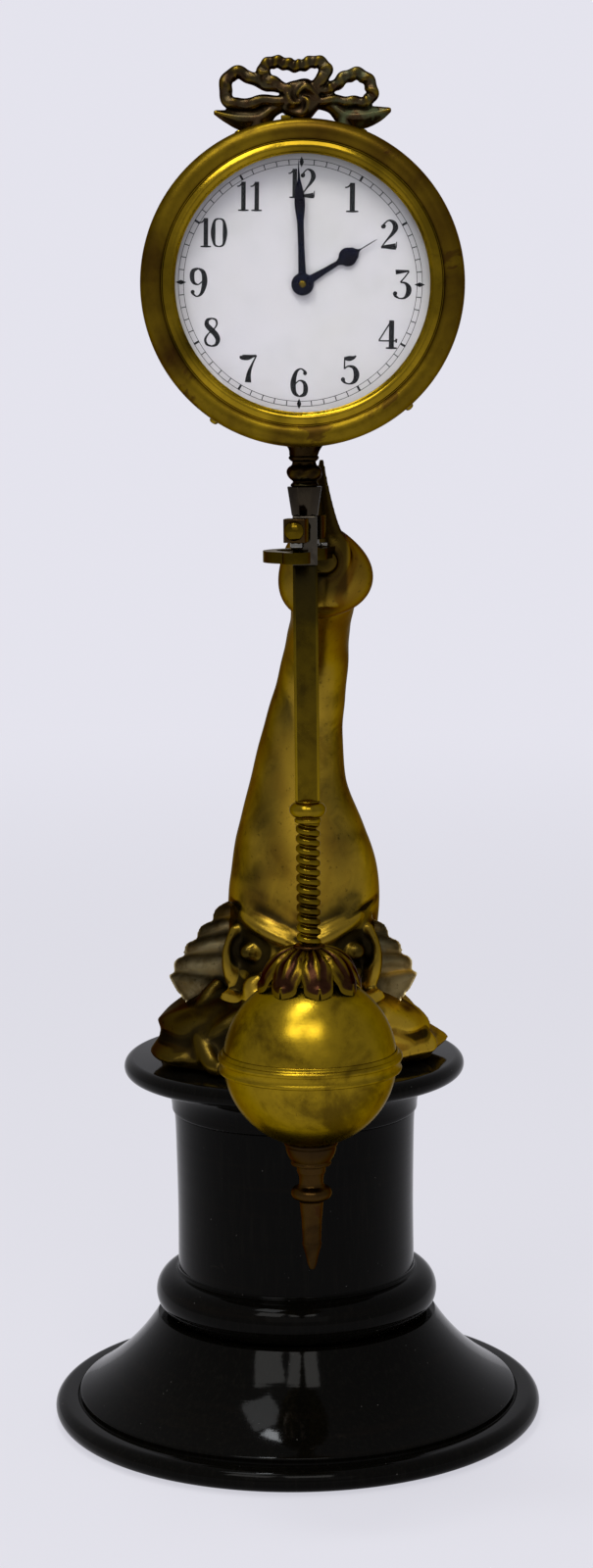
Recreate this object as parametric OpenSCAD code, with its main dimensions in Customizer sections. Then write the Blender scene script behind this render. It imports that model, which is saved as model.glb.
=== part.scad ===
// Swinging mantel clock. A gilt dolphin stands on its head on a turned wooden base and carries,
// on a small hook at its tail, a pendulum that holds the whole clock above its pivot and a
// weighted ball below it. Millimetres, Z up, the dial faces -Y, the origin is the centre of
// the underside of the base.

/* [Wooden base] */
// Radius of the foot over its rounded rim
foot_r = 65.2; // [60:0.1:70]
// Height of the rounded rim of the foot
rim_h = 5.8; // [4:0.1:7]
// Height of the foot from the felt to the bead
foot_h = 27.8; // [22:0.1:34]
// Thickness of the felt under the foot
felt_t = 0.8; // [0.5:0.1:1.5]
// Radius of the column
column_r = 31.6; // [27:0.1:34]
// Radius of the bead at the bottom of the column
bead_r = 6; // [4:0.1:7]
// Height of the column with its bead
column_h = 55.4; // [46:0.1:68]
// Radius of the cap over its rounded edge
cap_r = 45.2; // [43:0.1:50]
// Height of the cap with the cove under it
cap_h = 14.6; // [13:0.1:18]
// Thickness of the rounded edge of the cap
cap_edge = 5; // [4:0.1:6]
// Radius of the bolt that holds the figure down
bolt_r = 3; // [2.5:0.1:4]
// Radius of the recess for the nut under the foot
recess_r = 12; // [10:0.1:16]

/* [Figure] */
// Height from the top of the base to the pivot
figure_h = 136.7; // [128:0.1:146]
// Greatest width of the dolphin's body
body_w = 39.4; // [34:0.1:42]
// Greatest depth of the dolphin's body
body_d = 37; // [32:0.1:40]
// Span over the two side fins
fin_span = 66; // [58:0.1:72]
// Radius of the wave plinth at its lip
wave_r = 37.5; // [34:0.1:40]
// Height of the wave plinth
wave_h = 18.5; // [16:0.1:21]
// Width of the face between the corners of its lips
face_w = 34; // [30:0.1:38]
// Thickness of each fin at its root
fin_t = 4; // [3:0.1:5]
// Radius of the curled tail seen from the front
curl_r = 11.6; // [10.8:0.1:12.4]
// Distance of the tail's knot to the right of the pendulum
knot_side = 4.6; // [4:0.1:5.2]
// Distance of the tail's knot behind the pendulum
knot_back = 25; // [24.4:0.1:25.6]
// Distance of the tail's knot under the pivot
knot_drop = 6.2; // [5.6:0.1:6.8]
// Distance from the column's axis forward to the pendulum
reach = 69; // [67:0.1:72]
// Distance of the pendulum to the right of the column's axis
side = 4; // [2:0.1:5]

/* [Hook and pivot] */
// Outer radius of the hook
hook_r = 10; // [9.6:0.1:11]
// Width of the hook's band
hook_w = 3.2; // [2.8:0.1:3.6]
// Thickness of the hook
hook_t = 2.7; // [2:0.1:3.5]
// Radius of the round pads that carry the pins
pad_r = 3.3; // [3:0.1:3.6]
// Depth of the pin's seat in each pad
seat_h = 0.9; // [0.7:0.1:1.2]
// Clearance under each pin's point
point_gap = 0.06; // [0.04:0.01:0.1]
// Distance from the rod's axis to each pin
pin_reach = 8.6; // [8.4:0.1:9]
// Turn of the pivot line seen from above
pivot_turn = 14; // [8:1:18]
// Radius of each pin
pin_r = 1.4; // [1:0.1:1.6]
// Radius of the cross bar through the carrier
cross_r = 1.5; // [1.2:0.1:1.8]
// Width of each square pivot block
block_w = 5.2; // [4.6:0.1:5.8]

/* [Clock head] */
// Height from the pivot to the centre of the dial
head_rise = 62.8; // [58:0.1:70]
// Outer radius of the drum
case_r = 36.2; // [35.8:0.1:36.6]
// Distance that the bezel stands out past the drum
bezel_out = 1.3; // [1:0.1:2]
// Width of the bezel from its edge to its opening
bezel_w = 8.1; // [7.6:0.1:8.6]
// Wall of the drum and of its back
case_wall = 0.8; // [0.6:0.1:1]
// Distance from the pendulum's plane back to the outside of the back cover
back_depth = 12.5; // [12.4:0.1:14]
// Space between the back cover and the back plate
back_room = 3.1; // [3:0.1:4]
// Thickness of the movement's plates
plate_t = 1; // [0.8:0.1:1.2]
// Distance between the movement's plates
plate_gap = 8.8; // [8.6:0.1:10]
// Space between the front plate and the dial
dial_room = 3; // [2.9:0.1:3.6]
// Thickness of the dial
dial_t = 0.8; // [0.6:0.1:1]
// Space between the dial and the glass
glass_room = 4.1; // [4:0.1:5]
// Thickness of the glass
glass_t = 1.2; // [1:0.1:1.6]
// Distance that the bezel stands in front of the glass
bezel_lip = 2.2; // [1.8:0.1:2.8]
// Height of the bow over the drum
crest_h = 16.8; // [15:0.1:20]
// Width over the bow
crest_w = 41.6; // [38:0.1:46]

/* [Hands] */
// Length of the minute hand from the dial's centre
minute_len = 28.2; // [24:0.1:28.6]
// Length of the hour hand from the dial's centre
hour_len = 20; // [16:0.1:22]
// Thickness of each hand
hand_t = 0.3; // [0.2:0.1:0.4]
// Angle of the minute hand past twelve
minute_deg = -1.4; // [-180:0.1:180]
// Angle of the hour hand past twelve
hour_deg = 59.9; // [0:0.1:360]

/* [Pendulum rod] */
// Width of the flat rod
rod_w = 5.9; // [5:0.1:6.2]
// Thickness of the flat rod
rod_t = 4; // [3:0.1:5]
// Chamfer along the rod's edges
rod_chamfer = 0.6; // [0.3:0.1:0.9]
// Distance from the pivot down to the bead under the flat rod
bead_drop = 59; // [54:0.1:64]
// Radius of the twisted part of the rod
twist_r = 2.95; // [2.5:0.05:3.2]
// Height of one turn of the twist
twist_pitch = 2.4; // [2:0.1:3]
// Height of the twisted part
twist_h = 29.4; // [26:0.1:32]
// Radius of the threaded tail that passes through the ball
tail_r = 1.6; // [1.3:0.1:1.8]

/* [Ball and finial] */
// Distance from the pivot down to the centre of the ball
bob_drop = 122.5; // [118:0.1:126]
// Radius of the ball
bob_r = 21.1; // [19.5:0.1:22]
// Wall of the ball's two shells
bob_wall = 1; // [0.8:0.1:1.4]
// Height of the band round the ball
band_h = 5.2; // [4:0.1:6]
// Distance that the band stands out from the ball
band_out = 1.4; // [1:0.1:1.8]
// Radius of the leaf cap on the ball
leaf_r = 12.4; // [11:0.1:13.5]
// Thickness of the leaves where they meet
leaf_t = 2.2; // [1.8:0.1:2.4]
// Radius of the collar over the leaves
collar_r = 4.1; // [3.8:0.1:4.4]
// Number of leaves on the cap
leaf_n = 8; // [6:1:10]
// Length of the finial from its top to its point
finial_h = 26.4; // [24:0.1:30]
// Running clearance of the ball and the finial on the threaded tail
slide_gap = 0.08; // [0.05:0.01:0.1]
// Clearance between pieces that move past each other
gap = 0.3; // [0.25:0.01:0.4]

/* [Movement] */
// Teeth of the mainspring barrel
barrel_teeth = 78; // [78:1:80]
// Leaves of the centre pinion
centre_leaves = 8; // [8:1:8]
// Module of the barrel and the centre pinion
barrel_mod = 0.36; // [0.35:0.01:0.36]
// Teeth of the centre wheel
centre_teeth = 72; // [70:1:72]
// Leaves of the third pinion
third_leaves = 8; // [8:1:8]
// Teeth of the third wheel
third_teeth = 70; // [68:1:70]
// Leaves of the escape pinion
escape_leaves = 7; // [7:1:7]
// Module of the train wheels
train_mod = 0.3; // [0.29:0.01:0.3]
// Teeth of the escape wheel
escape_teeth = 30; // [30:1:30]
// Radius of the escape wheel over its teeth
escape_r = 7.6; // [7.2:0.1:7.8]
// Teeth of the cannon pinion
cannon_teeth = 12; // [12:1:12]
// Teeth of the minute wheel
minute_teeth = 36; // [36:1:36]
// Teeth of the minute wheel's pinion
minute_leaves = 10; // [10:1:10]
// Teeth of the hour wheel
hour_teeth = 40; // [40:1:40]
// Module of the motion work
motion_mod = 0.3; // [0.28:0.01:0.3]
// Radius of the arbors
arbor_r = 0.7; // [0.6:0.05:0.8]
// Running clearance of pivots and pipes
run_gap = 0.06; // [0.04:0.01:0.1]

/* [Hidden] */
$fn = 72;
tiny = 0.01;

// Heights up the base and the figure
foot_z = felt_t;
column_z = foot_z + foot_h;
cap_z = column_z + column_h;
base_h = cap_z + cap_h;
pivot_z = base_h + figure_h;
head_z = pivot_z + head_rise;
bob_z = pivot_z - bob_drop;

// Places along the dial's axis, measured forward from the pendulum's plane
cover_f = case_wall - back_depth;
back_plate_f = cover_f + back_room;
train_f = back_plate_f + plate_t;
front_plate_f = train_f + plate_gap;
motion_f = front_plate_f + plate_t;
dial_f = motion_f + dial_room;
hands_f = dial_f + dial_t;
glass_f = hands_f + glass_room;
bezel_f = glass_f + glass_t + bezel_lip;
case_in = case_r - case_wall;
bezel_r = case_r + bezel_out;
sight_r = bezel_r - bezel_w;

// Arbors of the movement, as places on the dial's plane
barrel_dist = (barrel_teeth + centre_leaves) * barrel_mod / 2;
barrel_at = barrel_dist * [cos(200), sin(200)];
third_dist = (centre_teeth + third_leaves) * train_mod / 2;
third_way = 20;
third_at = third_dist * [cos(third_way), sin(third_way)];
escape_dist = (third_teeth + escape_leaves) * train_mod / 2;
escape_way = 135;
escape_at = third_at + escape_dist * [cos(escape_way), sin(escape_way)];
anchor_rise = escape_r + 1.9;
anchor_at = escape_at + [0, anchor_rise];
motion_way = 250;
motion_dist = (cannon_teeth + minute_teeth) * motion_mod / 2;
motion_at = motion_dist * [cos(motion_way), sin(motion_way)];
hour_mod = 2 * motion_dist / (minute_leaves + hour_teeth);

// Colours
gilt = [0.56, 0.46, 0.16];
brass = [0.78, 0.63, 0.26];
bronze = [0.33, 0.27, 0.12];
copper = [0.42, 0.28, 0.16];
steel = [0.62, 0.62, 0.6];
black = [0.06, 0.06, 0.06];
enamel = [0.93, 0.92, 0.88];

// Points and curves
function polar(r, a) = r * [cos(a), sin(a)];
function arc(c, r, a0, a1, n) = [for (i = [0:n]) c + polar(r, a0 + (a1 - a0) * i / n)];
function mix(a, b, t) = a + (b - a) * t;

// A smooth curve through the stations p, where t counts the stations
function through(p, t) =
    let (i = min(floor(t), len(p) - 2), u = t - i)
    let (a = p[max(i - 1, 0)], b = p[i], c = p[i + 1], d = p[min(i + 2, len(p) - 1)])
    0.5 * (2 * b + (c - a) * u + (2 * a - 5 * b + 4 * c - d) * u * u
        + (3 * b - a - 3 * c + d) * u * u * u);
function resample(p, n) = [for (i = [0:n]) through(p, i * (len(p) - 1) / n)];
function unit(v) = v / norm(v);
function bend(p, i) = unit(p[min(i + 1, len(p) - 1)] - p[max(i - 1, 0)]);

// A closed skin over rings of equal length, the first ring to the last
module skin(rings) {
    n = len(rings[0]);
    last = len(rings) - 1;
    points = [for (ring = rings) for (p = ring) p];
    walls = [for (i = [0:last - 1]) for (j = [0:n - 1]) let (k = (j + 1) % n)
        each [[i * n + j, i * n + k, (i + 1) * n + k], [i * n + j, (i + 1) * n + k, (i + 1) * n + j]]];
    start = [[for (j = [n - 1:-1:0]) j]];
    end = [[for (j = [0:n - 1]) last * n + j]];
    polyhedron(points, concat(start, walls, end), convexity = 10);
}

// The pendulum's own frame, with its origin at the pivot
module at_pivot() {
    translate([side, -reach, pivot_z]) children();
}

// The dial's frame: children lie in the dial's plane and rise towards the viewer
module at_dial(f, at = [0, 0]) {
    translate([side + at[0], -reach - f, head_z + at[1]]) rotate([90, 0, 0]) children();
}

module at_bob() {
    translate([side, -reach, bob_z]) children();
}

// Wooden base
rim_r = rim_h / 2;
flare_top = column_r + bead_r - 0.4;
step_r = foot_r - 6.6;
felt_r = foot_r - rim_r - 2;
bore_r = bolt_r + gap;
recess_h = 10;
washer_t = 1.2;
nut_h = 5;

module base_baize() {
    color("darkgreen") cylinder(r = felt_r, h = felt_t);
}

// The hollow flank between the rim and the bead is one shallow arc
function flank(a, b, sag, n) =
    let (inward = unit([a[1] - b[1], b[0] - a[0]]))
    [for (i = [0:n]) let (t = i / n) mix(a, b, t) + sag * 4 * t * (1 - t) * inward];

module base_foot() {
    profile = concat(
        [[bore_r, foot_z], [foot_r - rim_r, foot_z]],
        arc([foot_r - rim_r, foot_z + rim_r], rim_r, -80, 90, 10),
        [[step_r, foot_z + rim_h], [step_r, foot_z + rim_h + 1.2]],
        flank([step_r - 0.6, foot_z + rim_h + 1.6], [flare_top, column_z], 1.8, 8),
        [[bore_r, column_z]]);
    color(black) difference() {
        rotate_extrude() polygon(profile);
        translate([0, 0, foot_z - 1]) cylinder(r = recess_r, h = recess_h + 1);
    }
}

module base_column() {
    top_r = column_r + 0.5;
    profile = concat(
        [[bore_r, column_z]],
        arc([column_r, column_z + bead_r], bead_r, -80, 84, 12),
        [[column_r, column_z + 2 * bead_r + 0.8], [top_r, cap_z], [bore_r, cap_z]]);
    color(black) rotate_extrude() polygon(profile);
}

module base_cap() {
    edge_r = cap_edge / 2;
    edge_z = base_h - edge_r;
    under_z = base_h - cap_edge;
    cove = under_z - cap_z - 1.4;
    cove_r = column_r + 0.5;
    profile = concat(
        [[bore_r, cap_z], [cove_r, cap_z]],
        [for (i = [0:8]) let (a = 90 * i / 8)
            [cove_r + 0.6 + 5.4 * (1 - cos(a)), cap_z + 0.6 + cove * sin(a)]],
        [[cove_r + 6, under_z]],
        arc([cap_r - edge_r, edge_z], edge_r, -80, 90, 12),
        [[bore_r, base_h]]);
    color(black) rotate_extrude() polygon(profile);
}

// The dolphin's chin is cut flat, and the bolt's head end stops under it
head_cut = 4;
seat_z = foot_z + recess_h;
bolt_top = base_h + head_cut;

module figure_bolt() {
    color(steel) translate([0, 0, foot_z + 1.2]) cylinder(r = bolt_r, h = bolt_top - foot_z - 1.2);
}

module figure_nut() {
    color(steel) difference() {
        union() {
            translate([0, 0, seat_z - washer_t]) cylinder(r = recess_r - 2, h = washer_t);
            translate([0, 0, seat_z - washer_t - nut_h])
                cylinder(r = 1.9 * bolt_r, h = nut_h, $fn = 6);
        }
        translate([0, 0, foot_z]) cylinder(r = bolt_r, h = recess_h);
    }
}

// Figure: a plinth of waves, the body, two fins and the tail
function wave_ring(r, z, swell, turn) =
    [for (j = [0:44]) let (a = -8 * j)
        [each (r * (1 + swell * cos(5 * a + turn) + 0.4 * swell * cos(9 * a - turn))
            * [cos(a), 0.94 * sin(a)]), z]];

module wave_form() {
    // Each station is radius, height, depth of the scallops and their turn
    folds = [
        [0.80, 0, 0.02, 0], [0.93, 0.06, 0.05, 20], [1.02, 0.18, 0.06, 40], [0.98, 0.3, 0.07, 60],
        [0.93, 0.42, 0.05, 80], [0.92, 0.56, 0.06, 100], [0.86, 0.72, 0.05, 120], [0.72, 0.88, 0.04, 140],
        [0.5, 1, 0.02, 160]];
    skin([for (s = resample(folds, 10)) wave_ring(s[0] * wave_r, base_h + s[1] * wave_h, s[2], s[3])]);
}

module wave_mount() {
    color(gilt) difference() {
        wave_form();
        intersection() {
            union() {
                body_form(0, 9);
                face();
            }
            translate([-body_w, -body_d - 10, base_h + head_cut]) cube(2 * body_w + 20);
        }
        translate([0, 0, base_h - 1]) cylinder(r = bolt_r, h = head_cut + 1);
    }
}

// The middle of the tail's knot, and the body's end inside it, a little behind and below that middle
tail_at = [side + knot_side, -reach + knot_back, pivot_z - knot_drop];
tail_root = tail_at + [0, 1.5, -1.5];

// Stations up the dolphin, nose to tail: place across and forward, height, half width, half depth.
// Heights are shares of the figure's height, the rest are shares of the body's size.
// The last one lies in the tail's knot, so that the body carries the tail.
spine = [
    [0.00, -0.75, 0.035, 0.40, 0.34],
    [0.02, -0.55, 0.075, 0.66, 0.60],
    [0.05, -0.32, 0.130, 0.86, 0.82],
    [0.09, -0.12, 0.200, 0.96, 0.95],
    [0.14, 0.02, 0.275, 1.01, 1.00],
    [0.16, 0.10, 0.345, 1.00, 1.00],
    [0.12, 0.14, 0.430, 0.87, 0.92],
    [0.10, 0.14, 0.530, 0.65, 0.76],
    [0.17, 0.08, 0.630, 0.53, 0.62],
    [0.26, -0.06, 0.700, 0.47, 0.54],
    [0.33, -0.30, 0.760, 0.44, 0.49],
    [0.37, -0.62, 0.810, 0.41, 0.45],
    [0.40, -1.05, 0.850, 0.39, 0.42],
    [0.43, -1.50, 0.885, 0.40, 0.40],
    [0.44, -1.95, 0.920, 0.42, 0.40],
    [2 * tail_root[0] / body_w, 2 * tail_root[1] / body_d, (tail_root[2] - base_h) / figure_h, 0.32, 0.32]];
body_rings = 32;
body_sides = 24;
stations = resample(spine, body_rings);
middle = [for (s = stations) [s[0] * body_w / 2, s[1] * body_d / 2, base_h + s[2] * figure_h]];

function body_ring(i) =
    let (s = stations[i], up = bend(middle, i), out = unit(cross([1, 0, 0], up)), across = cross(up, out))
    let (a = s[3] * body_w / 2, b = s[4] * body_d / 2)
    [for (j = [0:body_sides - 1]) let (t = 360 * j / body_sides)
        middle[i] + a * cos(t) * (1 - 0.06 * sin(t)) * across + b * sin(t) * out];

module body_form(from = 0, to = body_rings) {
    skin([for (i = [from:to]) body_ring(i)]);
}

// A rounded roll along stations of place across, forward, height and radius
module roll(stations, n, sides) {
    path = resample(stations, n);
    skin([for (i = [0:n])
        let (at = [path[i][0], path[i][1], path[i][2]], r = path[i][3])
        let (before = path[max(i - 1, 0)], after = path[min(i + 1, n)])
        let (way = unit([after[0] - before[0], after[1] - before[1], after[2] - before[2]]))
        let (u = unit(cross(way, [0, -0.8, 0.6])), v = cross(u, way))
        [for (j = [0:sides - 1]) at + r * (cos(360 * j / sides) * u + sin(360 * j / sides) * v)]]);
}

// The face looks forward: two brows, two eyes, a snout and the rolled upper lip
// Its points are drawn for a width of face_drawn.
face_drawn = 34;

module face() {
    translate([0.06 * body_w, -0.5 * body_d, base_h + 0.2 * figure_h]) scale(face_w / face_drawn) {
        for (way = [0, 1]) mirror([way, 0, 0]) {
            translate([8, 0.8, 3]) sphere(r = 3.6, $fn = 20);
            roll([[2.2, -1, 4.6, 1.2], [6, -2.2, 7.6, 1.9], [11, 0.4, 9.4, 1.9], [15, 6, 10.6, 1]], 8, 8);
        }
        roll([[0, 1.5, 6.5, 2.4], [0, -2, 1.5, 3.4], [0, -4.5, -4, 4.4], [0, -4.4, -9, 4.2]], 8, 10);
        roll([[-17, 6, -10, 1.4], [-12, -0.5, -8.6, 2.4], [-5, -5.6, -11, 2.6], [0, -7, -12, 2.8],
            [5, -5.6, -11, 2.6], [12, -0.5, -8.6, 2.4], [17, 6, -10, 1.4]], 16, 8);
    }
}

module dolphin_body() {
    color(gilt) difference() {
        union() {
            body_form();
            face();
        }
        translate([-body_w, -body_d - 10, base_h - 10])
            cube([2 * body_w, 2 * body_d + 20, 10 + head_cut]);
    }
}

// A fin is a fan of rays from its root on the body out to a scalloped edge
fin_rays = 5;
fin_steps = 30;
fin_from = 2;
fin_to = 14;
fin_x = 0.4 * body_w;
fin_top = base_h + 0.3 * figure_h;
fin_low = base_h + 0.115 * figure_h;

// s runs from the root out to the edge, t from the top ray down to the lowest, lift is a share of fin_t
function fin_point(s, t, lift) =
    let (swell = 1.6 * abs(sin(180 * fin_rays * t)) - 0.8)
    let (out_x = mix(fin_x + 1.5, fin_span / 2, sin(90 * min(1, 1.15 * t))))
    let (out = [out_x, mix(fin_top + 2, fin_low + 4, pow(t, 0.9))])
    let (root = [fin_x - 2, mix(fin_top - 2, fin_low - 3, t)])
    let (close = t > 0.87 ? mix([0, 0], [-4.5, -4.5], (t - 0.87) / 0.13) : [0, 0])
    let (edge = out + close + swell * [0.7, 0.5] * s)
    [mix(root[0], edge[0], s), -fin_t * (0.25 + 1.25 * s * s - lift), mix(root[1], edge[1], s)];

module fin() {
    skin([for (i = [0:fin_steps]) let (t = i / fin_steps, ray = abs(cos(180 * fin_rays * t)))
        [fin_point(0, t, -0.5), fin_point(0.55, t, -0.25 - 0.22 * ray), fin_point(1, t, -0.15),
         fin_point(1, t, 0.15), fin_point(0.55, t, 0.3), fin_point(0, t, 0.5)]]);
}

module fin_left() {
    color(gilt) difference() {
        mirror([1, 0, 0]) fin();
        body_form(fin_from, fin_to);
        wave_form();
    }
}

module fin_right() {
    color(gilt) difference() {
        fin();
        body_form(fin_from, fin_to);
        wave_form();
    }
}

// The tail curls over into a round knot behind the hook, and its blade sweeps up to a point
// Its stations are drawn for a knot of radius curl_drawn.
curl_drawn = 11.6;
curl = curl_r / curl_drawn;

module tail_fluke() {
    knot = [[0, 5.5, 0.5], [0, 3.5, 0.93], [0, 0, 1], [0, -3.5, 0.9], [0, -6.5, 0.55]];
    blade = [
        [0.5, -4.5, -8, 3], [1.3, -5.5, -3.3, 3.6], [2.5, -6.5, 2.7, 4], [2.4, -6.5, 7.3, 3.9],
        [1, -5.5, 11.1, 3.2], [0.4, -4, 15.8, 2.3], [-0.2, -2, 22, 1.5], [-0.3, 0, 27.9, 0.6]];
    root = [[0.6, -4, 1.5, 4.4], [-0.2, -8.5, 2.8, 3.9], [-0.4, -11.6, 3.6, 3.5]];
    color(gilt) difference() {
        union() {
            skin([for (k = knot) [for (j = [0:23]) let (a = -15 * j, lobe = 1 + 0.06 * cos(3 * a + 40))
                tail_at + [curl_r * k[2] * lobe * cos(a), curl * k[1], curl_r * k[2] * lobe * sin(a)]]]);
            skin([for (s = resample(blade, 14)) [for (j = [0:11]) let (a = -30 * j)
                tail_at + curl * [s[0] + s[3] * cos(a), s[1] + 0.62 * s[3] * sin(a), s[2]]]]);
            skin([for (s = resample(root, 6)) [for (j = [0:15]) let (a = -22.5 * j)
                tail_at + curl * [s[0] + s[3] * cos(a), s[1], s[2] + 0.8 * s[3] * sin(a)]]]);
        }
        body_form(20);
        tail_seat();
    }
}

// Hook: a flat band that leaves the tail, passes round the left of the rod and ends in front
pivot_way = [-sin(pivot_turn), -cos(pivot_turn)];
hook_top = pivot_z + seat_h - point_gap;
hook_z = hook_top - hook_t;
front_pad = pin_reach * pivot_way;
rear_pad = -pin_reach * pivot_way;
arm_end = [knot_side - 0.4 * curl, knot_back - curl_r];

module hook_plan() {
    start = atan2(rear_pad[1], rear_pad[0]);
    stop = atan2(front_pad[1], front_pad[0]) + 360;
    outer = arc([0, 0], hook_r, start, stop, 24);
    inner = arc([0, 0], hook_r - hook_w, stop, start, 24);
    polygon(concat(outer, inner));
    translate(front_pad) circle(r = pad_r);
    translate(rear_pad) circle(r = pad_r);
    polygon([rear_pad + [-pad_r, 0], rear_pad + [pad_r, 0], arm_end + [pad_r, 3], arm_end + [-pad_r, 3]]);
}

module tail_seat() {
    translate([side, -reach, hook_z]) linear_extrude(hook_t) hook_plan();
}

module support_hook() {
    color(brass) translate([side, -reach, 0]) difference() {
        translate([0, 0, hook_z]) linear_extrude(hook_t) hook_plan();
        for (at = [front_pad, rear_pad]) translate([at[0], at[1], pivot_z - point_gap])
            cylinder(r1 = 0, r2 = 2 * seat_h, h = seat_h + tiny);
    }
}

module hook_screws() {
    color(steel) translate([side + arm_end[0], -reach + arm_end[1] + 1.2, hook_top])
        cylinder(r = 1.4, h = 1);
}

// Pivot: a steel carrier with a cross bar, and on it two blocks with a pointed pin each
carrier_top = 9;
carrier_drop = 2.6;
carrier_w = 5.8;
cross_z = 5.9;
block_h = 5.6;
block_d = 4.2;

module turned() {
    at_pivot() rotate([0, 0, -pivot_turn]) children();
}

module carrier() {
    color(steel) difference() {
        at_pivot() translate([-carrier_w / 2, -carrier_w / 2, -carrier_drop])
            cube([carrier_w, carrier_w, carrier_top + carrier_drop]);
        turned() translate([0, 0, cross_z]) rotate([90, 0, 0])
            cylinder(r = cross_r, h = 3 * carrier_w, center = true);
    }
}

module cross_bar() {
    length = 2 * pin_reach + block_d;
    color(steel) turned() translate([0, 0, cross_z]) rotate([90, 0, 0])
        cylinder(r = cross_r, h = length, center = true);
}

module pivot_blocks() {
    color(bronze) turned() difference() {
        for (way = [-1, 1]) translate([-block_w / 2, way * pin_reach - block_d / 2, cross_z - block_h / 2])
            cube([block_w, block_d, block_h]);
        translate([0, 0, cross_z]) rotate([90, 0, 0])
            cylinder(r = cross_r, h = 4 * pin_reach, center = true);
    }
}

module block_screws() {
    head_r = 2.5;
    color(brass) turned() for (way = [0, 180]) rotate([0, 0, way])
        translate([0, -pin_reach - block_d / 2, cross_z]) rotate([90, 0, 0]) difference() {
            translate([0, 0, -1.2]) sphere(r = head_r + 0.2);
            translate([-5, -5, -8]) cube([10, 10, 8]);
        }
}

module pivot_pins() {
    top = cross_z - block_h / 2;
    color(steel) turned() for (way = [-1, 1]) translate([0, way * pin_reach, 0]) {
        cylinder(r1 = 0, r2 = pin_r, h = 1.4 * pin_r);
        translate([0, 0, 1.4 * pin_r]) cylinder(r = pin_r, h = top - 1.4 * pin_r);
    }
}

// Neck between the pivot and the drum
ferrule_h = 6.9;
ring_z = carrier_top + ferrule_h;
neck_h = head_rise - case_r - ring_z;

module ferrule() {
    color(steel) at_pivot() translate([0, 0, carrier_top]) rotate([0, 0, 22.5])
        cylinder(r1 = 3.3, r2 = 4.4, h = ferrule_h, $fn = 8);
}

module neck() {
    top = ring_z + neck_h;
    ring_r = 0.18 * neck_h;
    profile = concat(
        [[0, ring_z], [3.1, ring_z], [3.1, ring_z + 0.13 * neck_h]],
        arc([4.1 - ring_r, ring_z + 0.3 * neck_h], ring_r, -70, 70, 8),
        [[3, ring_z + 0.5 * neck_h], [3.4, ring_z + 0.62 * neck_h]],
        [for (i = [0:6]) let (t = i / 6)
            [3.4 + 1.6 * t * t, ring_z + mix(0.64, 0.94, t) * neck_h]],
        [[5.2, top], [5.2, top + 2], [0, top + 2]]);
    color(bronze) difference() {
        at_pivot() rotate_extrude() polygon(profile);
        at_dial(cover_f - 1) cylinder(r = case_r, h = dial_f - cover_f + 2, $fn = 144);
    }
}

// Clock head
module case_band() {
    color(brass) difference() {
        at_dial(cover_f) cylinder(r = case_r, h = dial_f - cover_f, $fn = 144);
        at_dial(cover_f - 1) cylinder(r = case_in, h = dial_f - cover_f + 2, $fn = 144);
    }
}

// Section of the bezel: a hollow skirt that sits on the drum, an outer half round and an inner cove
module bezel() {
    deep = bezel_f - dial_f;
    inner = glass_f - dial_f;
    seat = inner + glass_t;
    outer_c = [bezel_r - 2.7, deep - 3.4];
    profile = concat(
        [[case_r, 0], [bezel_r - 0.5, 0], [bezel_r, 1]],
        arc(outer_c, 2.7, 0, 150, 10),
        arc([sight_r + 3.2, seat + 0.4], 1.6, 60, 160, 6),
        [[sight_r, seat + 0.5], [sight_r, seat], [sight_r + 1.2, seat], [sight_r + 1.2, inner],
         [sight_r + 1.6, inner], [sight_r + 2.6, inner - 1], [case_in, 1.4], [case_in, 0]]);
    color(brass) at_dial(dial_f) rotate_extrude($fn = 144) polygon(profile);
}

module glass() {
    color("lightblue", 0.3) at_dial(glass_f) cylinder(r = sight_r + 1.2, h = glass_t, $fn = 144);
}

foot_ring = 26;

module dial() {
    color(enamel) difference() {
        union() {
            at_dial(dial_f) cylinder(r = case_in - 0.4, h = dial_t, $fn = 144);
            for (a = [30, 150, 270]) at_dial(motion_f, polar(foot_ring, a))
                cylinder(r = 1, h = dial_room);
        }
        at_dial(dial_f - 1) cylinder(r = pipe_r + 0.5, h = dial_t + 2);
    }
}

module back_cover() {
    color(brass) difference() {
        union() {
            at_dial(cover_f - case_wall) cylinder(r = case_r, h = case_wall, $fn = 144);
            at_dial(cover_f) cylinder(r = case_in, h = 1.4, $fn = 144);
        }
        at_dial(cover_f) cylinder(r = case_in - case_wall, h = 2, $fn = 144);
        at_dial(cover_f - 2, barrel_at) cylinder(r = key_r + gap, h = 4);
        at_dial(cover_f - 2) cylinder(r = 1.2 + gap, h = 4);
    }
}

module case_screws() {
    color(brass) for (a = [112.5, 67.5, 236, 311]) at_dial(dial_f - 2.4)
        rotate([0, 0, a]) translate([case_r, 0, 0]) rotate([0, 90, 0]) {
            cylinder(r = 0.7, h = 1.2);
            translate([0, 0, 1.2]) cylinder(r = 1.1, h = 1);
        }
}

// Bow on top of the drum, cast from ribbons that loop out of a knot
crest_z = head_rise + case_r;
crest_y = -(dial_f + cover_f) / 2 - 3;
knot_r = 4.1;
knot_t = 3;
lug_x = 8.4;
lug_h = 3;

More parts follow.
